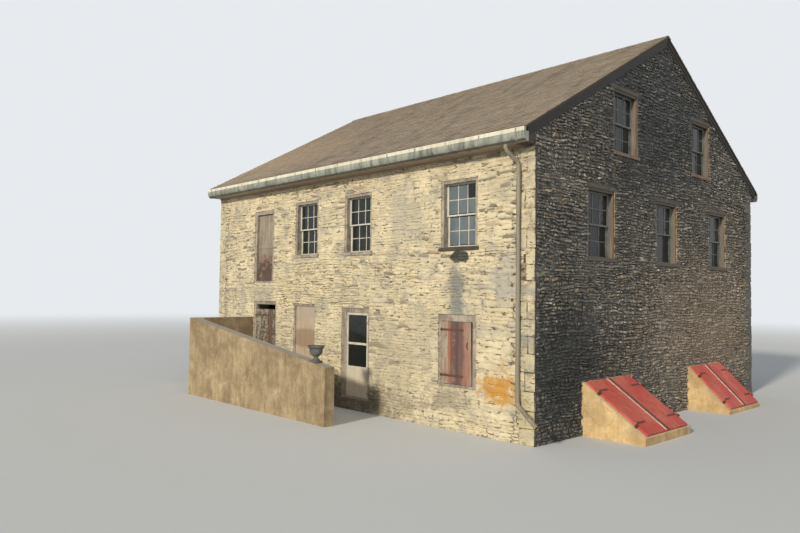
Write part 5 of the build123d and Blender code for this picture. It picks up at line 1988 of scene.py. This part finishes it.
@dataclass
class BoardFacing:
    """Upright boards over the face of a leaf, following its uneven edges."""

    name: str
    node: str
    body: str
    finish: Finish
    slot: Slot
    shares: tuple[float, ...]
    tones: tuple[float, ...]
    rails: tuple[float, ...] = ()
    thick: float = 0.004
    gap: float = 0.005
    chamfer: float = 0.003
    rail: float = 0.11

    def build(self) -> bpy.types.Object:
        """Lays the boards and any rails across them.

        Returns:
            The piece.
        """
        face = flat_faces(self.node, FRONTWARD)[0]
        along = UP.cross(FRONTWARD)
        spread = [(point.dot(along), point.z, point) for point in face.points]
        corners = [max(spread, key=lambda item: side * item[0] + level * item[1])[2]
                   for side, level in ((-1, -1), (1, -1), (-1, 1), (1, 1))]
        width = (corners[1] - corners[0]).length
        total = sum(self.shares)
        maker = MeshMaker()
        start = 0.0
        for share, tone in zip(self.shares, self.tones):
            end = start + share / total
            near, far = start + self.gap / 2 / width, end - self.gap / 2 / width
            outline = [corners[0].lerp(corners[1], near), corners[0].lerp(corners[1], far),
                       corners[2].lerp(corners[3], far), corners[2].lerp(corners[3], near)]
            middle = sum(outline, Vector()) / 4
            front = [point + (middle - point).normalized() * self.chamfer + FRONTWARD * self.thick
                     for point in outline]
            faces = [(4, 5, 6, 7)] + [(a, (a + 1) % 4, (a + 1) % 4 + 4, a + 4) for a in range(4)]
            maker.add([point - FRONTWARD * 0.0005 for point in outline] + front, faces, tone)
            start = end
        for level in self.rails:
            left, right = corners[0].lerp(corners[2], level), corners[1].lerp(corners[3], level)
            maker.bar(left, right, self.rail, self.thick + 0.012, FRONTWARD, 0.004, 0.3)
        return maker.make(self.name, self.finish, self.body, self.slot)


@dataclass
class IronSkin:
    """A thin skin over the raised iron of a leaf, so that iron and leaf differ in finish."""

    name: str
    node: str
    outward: Vector
    slot: Slot
    least: float = 0.003
    thick: float = 0.0012

    def build(self) -> bpy.types.Object:
        """Copies the planes that stand above the leaf's main face, a hair higher.

        Returns:
            The piece.
        """
        planes = flat_faces(self.node, self.outward)
        maker = MeshMaker()
        for plane in planes[1:]:
            if plane.offset < planes[0].offset + self.least:
                continue
            lift = plane.normal * self.thick
            uses: dict[tuple, list[tuple[Vector, Vector]]] = {}
            for polygon in plane.polygons:
                maker.add([point + lift for point in polygon], [tuple(range(len(polygon)))])
                for index, point in enumerate(polygon):
                    after = polygon[(index + 1) % len(polygon)]
                    key = tuple(sorted((corner_key(point), corner_key(after))))
                    uses.setdefault(key, []).append((point, after))
            for pairs in uses.values():
                if len(pairs) == 1:
                    point, after = pairs[0]
                    maker.add([point - lift, after - lift, after + lift, point + lift], [(0, 1, 2, 3)])
        return maker.make(self.name, OLD_STRAP, self.node, self.slot)


@dataclass
class SeamBead:
    """A flat bead along the meeting edge of a hatch leaf."""

    name: str
    node: str
    width: float = 0.038
    depth: float = 0.009

    def build(self) -> bpy.types.Object:
        """Lays the bead just inside the edge, from the head to the foot."""
        face = flat_faces(self.node, HATCH_SLOPE, 0.9)[0]
        edge = max(point.y for point in face.points) - self.width / 2 - 0.002
        xs = [point.x for point in face.points]
        maker = MeshMaker()
        maker.bar(face.lift(min(xs) + 0.01, edge), face.lift(max(xs) - 0.01, edge), self.width, self.depth,
                  face.normal, 0.003)
        return maker.make(self.name, PINK_BEAD, self.node, Slot.RED_STEEL)


@dataclass
class EaveTrim:
    """The pale top band of a gutter, a dark foot band of painted shade along its lower edge, and the straps
    that hold it.
    """

    side: str
    outward: Vector
    band: float = 0.072
    foot: float = 0.034
    strap: float = 0.028
    spacing: float = 0.76

    def ribbon(self, maker: MeshMaker, tree: BVHTree, ends: Point, levels: Sequence[float],
               lift: float) -> None:
        """Adds a strip that hugs the gutter's outer face.

        Args:
            maker: Mesh that the strip is added to.
            tree: The gutter's surface.
            ends: Where the strip starts and ends along the gutter.
            levels: Heights at which it touches the gutter.
            lift: Thickness of the strip.
        """
        x = (ends[0] + ends[1]) / 2
        hits = [tree.ray_cast(Vector((x, 0, level)) + self.outward * 8.0, -self.outward)[0]
                for level in levels]
        points = [hit for hit in hits if hit is not None]
        count = len(points)
        rows = [Vector((x, point.y, point.z)) + self.outward * out
                for x in ends for out in (lift, -0.002) for point in points]
        faces = []
        for step in range(count - 1):
            faces.append((step, step + 1, 2 * count + step + 1, 2 * count + step))
            for base in (0, 2 * count):
                faces.append((base + step, base + step + 1, base + count + step + 1, base + count + step))
        faces.append((0, 2 * count, 3 * count, count))
        faces.append((count - 1, 2 * count - 1, 4 * count - 1, 3 * count - 1))
        maker.add(rows, faces)

    def build(self) -> list[bpy.types.Object]:
        """Builds the band, the foot band of painted shade and the straps.

        Returns:
            The three pieces.
        """
        node = f"{self.side}_gutter"
        box = node_box(node)
        tree = surface_tree(node)
        top = box.high.z - 0.001
        band = MeshMaker()
        self.ribbon(band, tree, (box.low.x + 0.001, box.high.x - 0.001),
                    [top - self.band * step / 4 for step in range(5)], 0.003)
        # The foot band is painted shade along the gutter's lower edge.
        foot = MeshMaker()
        self.ribbon(foot, tree, (box.low.x + 0.002, box.high.x - 0.002),
                    [box.low.z + 0.003 + self.foot * step / 4 for step in range(5)], 0.004)
        straps = MeshMaker()
        count = int((box.high.x - box.low.x - 0.4) / self.spacing)
        for index in range(count + 1):
            x = box.low.x + 0.2 + (box.high.x - box.low.x - 0.4) * index / count
            levels = [top - 0.01 - (box.size.z - 0.03) * step / 12 for step in range(13)]
            self.ribbon(straps, tree, (x, x + self.strap), levels, 0.006)
        return [band.make(f"{node}_top_band", GUTTER_BAND, BUILDING, Slot.GUTTER),
                foot.make(f"{node}_foot_shade_band", GUTTER_FOOT_SHADE, BUILDING, Slot.GUTTER),
                straps.make(f"{node}_straps", GUTTER_PAINT, BUILDING, Slot.GUTTER)]


@dataclass
class PipeClips:
    """Bands that hold the downspout to the wall."""

    levels: tuple[float, ...] = (1.55, 3.15, 4.55)
    pipe_x: float = 5.14
    height: float = 0.032
    grip: float = 0.003

    def build(self) -> bpy.types.Object:
        """Puts a band round the pipe and two ears against the wall at each level."""
        tree = surface_tree("front_downspout")
        wall = node_box("right_gable_wall").low.y
        maker = MeshMaker()
        for level in self.levels:
            front = tree.ray_cast(Vector((self.pipe_x, wall - 1, level)), REARWARD)[0]
            centre_y = (front.y + wall - 0.012) / 2
            side = tree.ray_cast(Vector((8, centre_y, level)), LEFTWARD)[0]
            radius = centre_y - front.y
            x = side.x - radius
            low = Vector((x, centre_y, level - self.height / 2))
            maker.sweep([low, low + UP * self.height], radius + self.grip, 20)
            for ear in (-1, 1):
                start = Vector((x + ear * radius * 0.9, wall - 0.014, level))
                maker.bar(start, start + Vector((ear * 0.045, 0, 0)), self.height, 0.006, FRONTWARD, 0.001)
        return maker.make("downspout_clips", PIPE_PAINT, BUILDING, Slot.PIPE)


@dataclass
class FlutedUrn:
    """The urn on the areaway wall, with lobes round its bowl and a square plinth."""

    height: float = 0.300
    lobes: int = 18
    steps: int = 108
    plinth: float = 0.190
    profile: tuple[tuple[float, float, float], ...] = (
        (0.080, 0.0, 0), (0.080, 0.018, 0), (0.072, 0.026, 0), (0.050, 0.044, 0), (0.044, 0.062, 0),
        (0.052, 0.080, 0), (0.074, 0.094, 0.5), (0.102, 0.116, 1), (0.122, 0.146, 1), (0.130, 0.176, 0.8),
        (0.132, 0.206, 0.35), (0.134, 0.232, 0), (0.142, 0.248, 0), (0.160, 0.262, 0), (0.170, 0.276, 0),
        (0.170, 0.292, 0), (0.162, 0.300, 0), (0.134, 0.298, 0), (0.120, 0.270, 0), (0.112, 0.220, 0),
        (0.0, 0.216, 0))

    def build(self) -> bpy.types.Object:
        """Turns the profile round with lobes and sets it on the plinth."""
        box = node_box("planter_urn")
        foot = box.high.z - self.height
        middle = box.centre
        maker = MeshMaker()
        half = self.plinth / 2
        maker.block(Box(Vector((middle.x - half, middle.y - half, box.low.z)),
                        Vector((middle.x + half, middle.y + half, foot + 0.001))), 0.004, 0.4)
        points = []
        for radius, level, lobe in self.profile:
            for step in range(self.steps):
                angle = 2 * math.pi * step / self.steps
                swell = 1 + 0.055 * lobe * (abs(math.cos(angle * self.lobes / 2)) - 0.5)
                points.append(Vector((middle.x + radius * swell * math.cos(angle),
                                      middle.y + radius * swell * math.sin(angle), foot + level)))
        faces = [(row * self.steps + step, row * self.steps + (step + 1) % self.steps,
                  (row + 1) * self.steps + (step + 1) % self.steps, (row + 1) * self.steps + step)
                 for row in range(len(self.profile) - 1) for step in range(self.steps)]
        maker.add(points, faces + [tuple(range(self.steps))[::-1]])
        piece = maker.make("fluted_urn", URN_STONE, BUILDING, Slot.URN, True)
        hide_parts("planter_urn")
        return piece


@dataclass
class Joinery:
    """Glazing bars, door boards, iron and beads."""

    planes: dict[str, WallPlane]

    def build(self) -> list[bpy.types.Object]:
        """Builds everything that windows, doors and hatches carry.

        Returns:
            The pieces.
        """
        bars = [SashBars(f"{wall}_glazing_bars", f"{wall}_sashes", self.planes[wall.split("_")[0]],
                         finish, slot)
                for wall, finish, slot in (
                    ("front", WHITE_SASH, Slot.WHITE_SASH), ("right_gable", GREY_SASH, Slot.GREY_SASH),
                    ("rear", WHITE_SASH, Slot.WHITE_SASH), ("left_gable", GREY_SASH, Slot.GREY_SASH))]
        bars[1].bare = (self.lower_middle(bars[1].sashes()),)
        pieces = [group.build() for group in bars]
        pieces.append(CloudyPanes("cloudy_window_panes", bars[0], (4, 5), ((4, 2, 1),)).build())
        pieces.extend(BoardFacing(*leaf).build() for leaf in (
            ("upper_door_boards", "upper_door", BUILDING, UPPER_DOOR_BOARD, Slot.GREY_BOARDS,
             (1.0, 0.8, 1.1, 0.9, 1.0), (0.2, 0.7, 0.4, 0.9, 0.5), (0.52,)),
            ("boarded_opening_boards", "boarded_opening_panel", BUILDING, TAUPE_BOARD, Slot.TAUPE_BOARDS,
             (1.0, 1.2, 0.9, 1.1), (0.2, 0.6, 0.9, 0.4)),
            ("areaway_door_boards", "areaway_door", "areaway_door", PEELING_BOARD, Slot.PEELING_BOARDS,
             (1.0, 0.8, 1.0, 0.9, 1.1), (0.1, 0.5, 0.8, 0.3, 0.95)),
            ("red_door_boards", "red_door", "red_door", RED_BOARD, Slot.RED_BOARDS,
             (0.19, 0.06, 0.20, 0.19, 0.16), (0.1, 0.3, 0.5, 0.7, 0.9))))
        for door, slot in (("red_door", Slot.RED_BOARDS), ("areaway_door", Slot.PEELING_BOARDS)):
            pieces.append(IronSkin(f"{door}_iron", door, FRONTWARD, slot, 0.0055).build())
        for hatch in ("hatch_1", "hatch_2"):
            for leaf in (f"{hatch}_left_leaf", f"{hatch}_right_leaf"):
                pieces.append(IronSkin(f"{leaf}_straps", leaf, HATCH_SLOPE, Slot.RED_STEEL).build())
            pieces.append(SeamBead(f"{hatch}_seam_bead", f"{hatch}_left_leaf").build())
        return pieces

    def lower_middle(self, sashes: Sequence[Box]) -> int:
        """Finds the lower sash of the middle gable window, whose bars are lost."""
        return min(range(len(sashes)),
                   key=lambda index: abs(sashes[index].centre.y) * 10 + sashes[index].centre.z)


@dataclass
class WallFittings:
    """The small clay slot in the corner."""

    plane: WallPlane
    x: float = 5.25
    bottom: float = 3.18
    width: float = 0.05
    height: float = 0.14

    def build(self) -> list[bpy.types.Object]:
        """Sets the slot's frame against the corner stones."""
        slot = MeshMaker()
        start = self.plane.place(self.x - self.plane.origin.x, self.bottom, 0.002)
        slot.bar(start, start + UP * self.height, self.width, 0.013, self.plane.outward, 0.004)
        return [slot.make("corner_clay_slot", OLD_STRAP, BUILDING, Slot.LIMEWASHED)]


# Studio and camera


@dataclass
class PhotoCamera:
    """A camera at the photograph's angle."""

    place: Triple = (12.494, -14.915, 2.628)
    yaw: float = 46.434
    pitch: float = 2.160
    roll: float = 0.692
    focal_pixels: float = 689.506
    image_width: float = 800.0
    sensor: float = 36.0

    def build(self) -> bpy.types.Object:
        """Adds the camera and makes it the scene's own.

        Returns:
            The camera.
        """
        yaw, pitch, roll = (math.radians(angle) for angle in (self.yaw, self.pitch, self.roll))
        forward = Vector((-math.sin(yaw) * math.cos(pitch), math.cos(yaw) * math.cos(pitch), math.sin(pitch)))
        level = Vector((math.cos(yaw), math.sin(yaw), 0.0))
        above = level.cross(forward)
        right = level * math.cos(roll) + above * math.sin(roll)
        up = above * math.cos(roll) - level * math.sin(roll)
        turn = Matrix((right, up, -forward)).transposed().to_4x4()
        data = bpy.data.cameras.new("photo_camera")
        data.sensor_width = self.sensor
        data.lens = self.focal_pixels * self.sensor / self.image_width
        data.clip_end = 1000.0
        camera = add_object("photo_camera", data)
        camera.matrix_world = Matrix.Translation(self.place) @ turn
        bpy.context.scene.camera = camera
        return camera


@dataclass
class Studio:
    """A plain pale floor, a pale background and soft lamps."""

    floor_radius: float = 400.0
    floor_fade: Point = (18.0, 70.0)
    floor_colour: Colour = (0.60, 0.60, 0.585)
    background: Colour = (0.80, 0.83, 0.86)
    ambient: Colour = (0.86, 0.93, 1.0)
    ambient_strength: float = 0.42
    key_colour: Colour = (1.0, 0.94, 0.84)
    key_strength: float = 2.9
    key_from: Triple = (0.17, -1.0, 0.42)
    fill_strength: float = 0.55
    fill_from: Triple = (1.0, -0.55, 0.5)

    def build(self) -> None:
        """Adds the floor, the world and the lamps."""
        self.floor()
        self.world()
        self.lamp("key_lamp", self.key_from, self.key_strength, 5.0, self.key_colour)
        self.lamp("fill_lamp", self.fill_from, self.fill_strength, 40.0, (1.0, 1.0, 1.0))
        bpy.context.scene.view_settings.view_transform = "Standard"

    def floor(self) -> None:
        """Lays a round floor that fades into the background far away."""
        steps = 96
        mesh = bpy.data.meshes.new("studio_floor")
        angles = [2 * math.pi * step / steps for step in range(steps)]
        ring = [Vector((math.cos(angle), math.sin(angle), 0.0)) * self.floor_radius for angle in angles]
        mesh.from_pydata(ring, [], [tuple(range(steps))])
        material = bpy.data.materials.new("studio floor")
        material.use_nodes = True
        sheet = NodeSheet(material.node_tree)
        distance = sheet.vector("LENGTH", sheet.place())
        fade = sheet.times(sheet.remap(distance, *self.floor_fade), self.seen_rays(sheet))
        diffuse = sheet.fill(sheet.node("ShaderNodeBsdfDiffuse"), Color=self.floor_colour)
        glow = sheet.fill(sheet.node("ShaderNodeEmission"), Color=self.background)
        blend = sheet.node("ShaderNodeMixShader")
        for socket, value in zip(blend.inputs, (fade, diffuse["BSDF"], glow["Emission"])):
            sheet.feed(socket, value)
        sheet.fill(sheet.node("ShaderNodeOutputMaterial"), Surface=blend.outputs["Shader"])
        mesh.materials.append(material)
        floor = add_object("studio_floor", mesh)

    def seen_rays(self, sheet: NodeSheet) -> bpy.types.NodeSocket:
        """Gives 1 for rays from the camera, mirrors and glass, and 0 for light on the object."""
        path = sheet.node("ShaderNodeLightPath")
        seen = sheet.maths("MAXIMUM", path.outputs["Is Camera Ray"], path.outputs["Is Glossy Ray"])
        return sheet.maths("MAXIMUM", seen, path.outputs["Is Transmission Ray"])

    def world(self) -> None:
        """Sets a pale background and an even soft light."""
        world = bpy.data.worlds.new("studio")
        world.use_nodes = True
        bpy.context.scene.world = world
        sheet = NodeSheet(world.node_tree)
        seen = self.seen_rays(sheet)
        strength = sheet.plus(sheet.times(seen, 1.0 - self.ambient_strength), self.ambient_strength)
        shader = sheet.fill(sheet.node("ShaderNodeBackground"), Strength=strength,
                            Color=sheet.mix(seen, self.ambient, self.background))
        sheet.fill(sheet.node("ShaderNodeOutputWorld"), Surface=shader["Background"])

    def lamp(self, name: str, source: Triple, strength: float, softness: float,
             colour: Colour) -> None:
        """Adds a distant soft lamp.

        Args:
            name: Name of the lamp.
            source: Direction that the light comes from.
            strength: Strength of the lamp.
            softness: Apparent width of the lamp in degrees.
            colour: Colour of its light.
        """
        data = bpy.data.lights.new(name, "SUN")
        data.energy = strength
        data.angle = math.radians(softness)
        data.color = colour
        lamp = add_object(name, data)
        lamp.rotation_euler = Vector(source).to_track_quat("Z", "Y").to_euler()


def dress_nodes() -> None:
    """Gives every construction node the finish of its record slot."""
    for part in frame["record"]["subparts"]:
        finish = NODE_FINISHES[part["material_slot"]]
        node = frame["nodes"][part["node"]]
        for slot in node.material_slots:
            slot.material = finish.material()
        log.info("%s: %s", part["node"], finish.name)


def main() -> None:
    """Builds the camera, the studio and every sub-assembly in order."""
    logging.basicConfig(level=logging.INFO, format="%(message)s")
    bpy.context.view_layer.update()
    PhotoCamera().build()
    Studio().build()
    dress_nodes()
    masonry = Masonry()
    masonry.build()
    Roof().build()
    Joinery(masonry.planes).build()
    EaveTrim("front", FRONTWARD).build()
    EaveTrim("rear", REARWARD).build()
    PipeClips().build()
    FlutedUrn().build()
    WallFittings(masonry.planes["front"]).build()


if __name__ == "__main__":
    main()
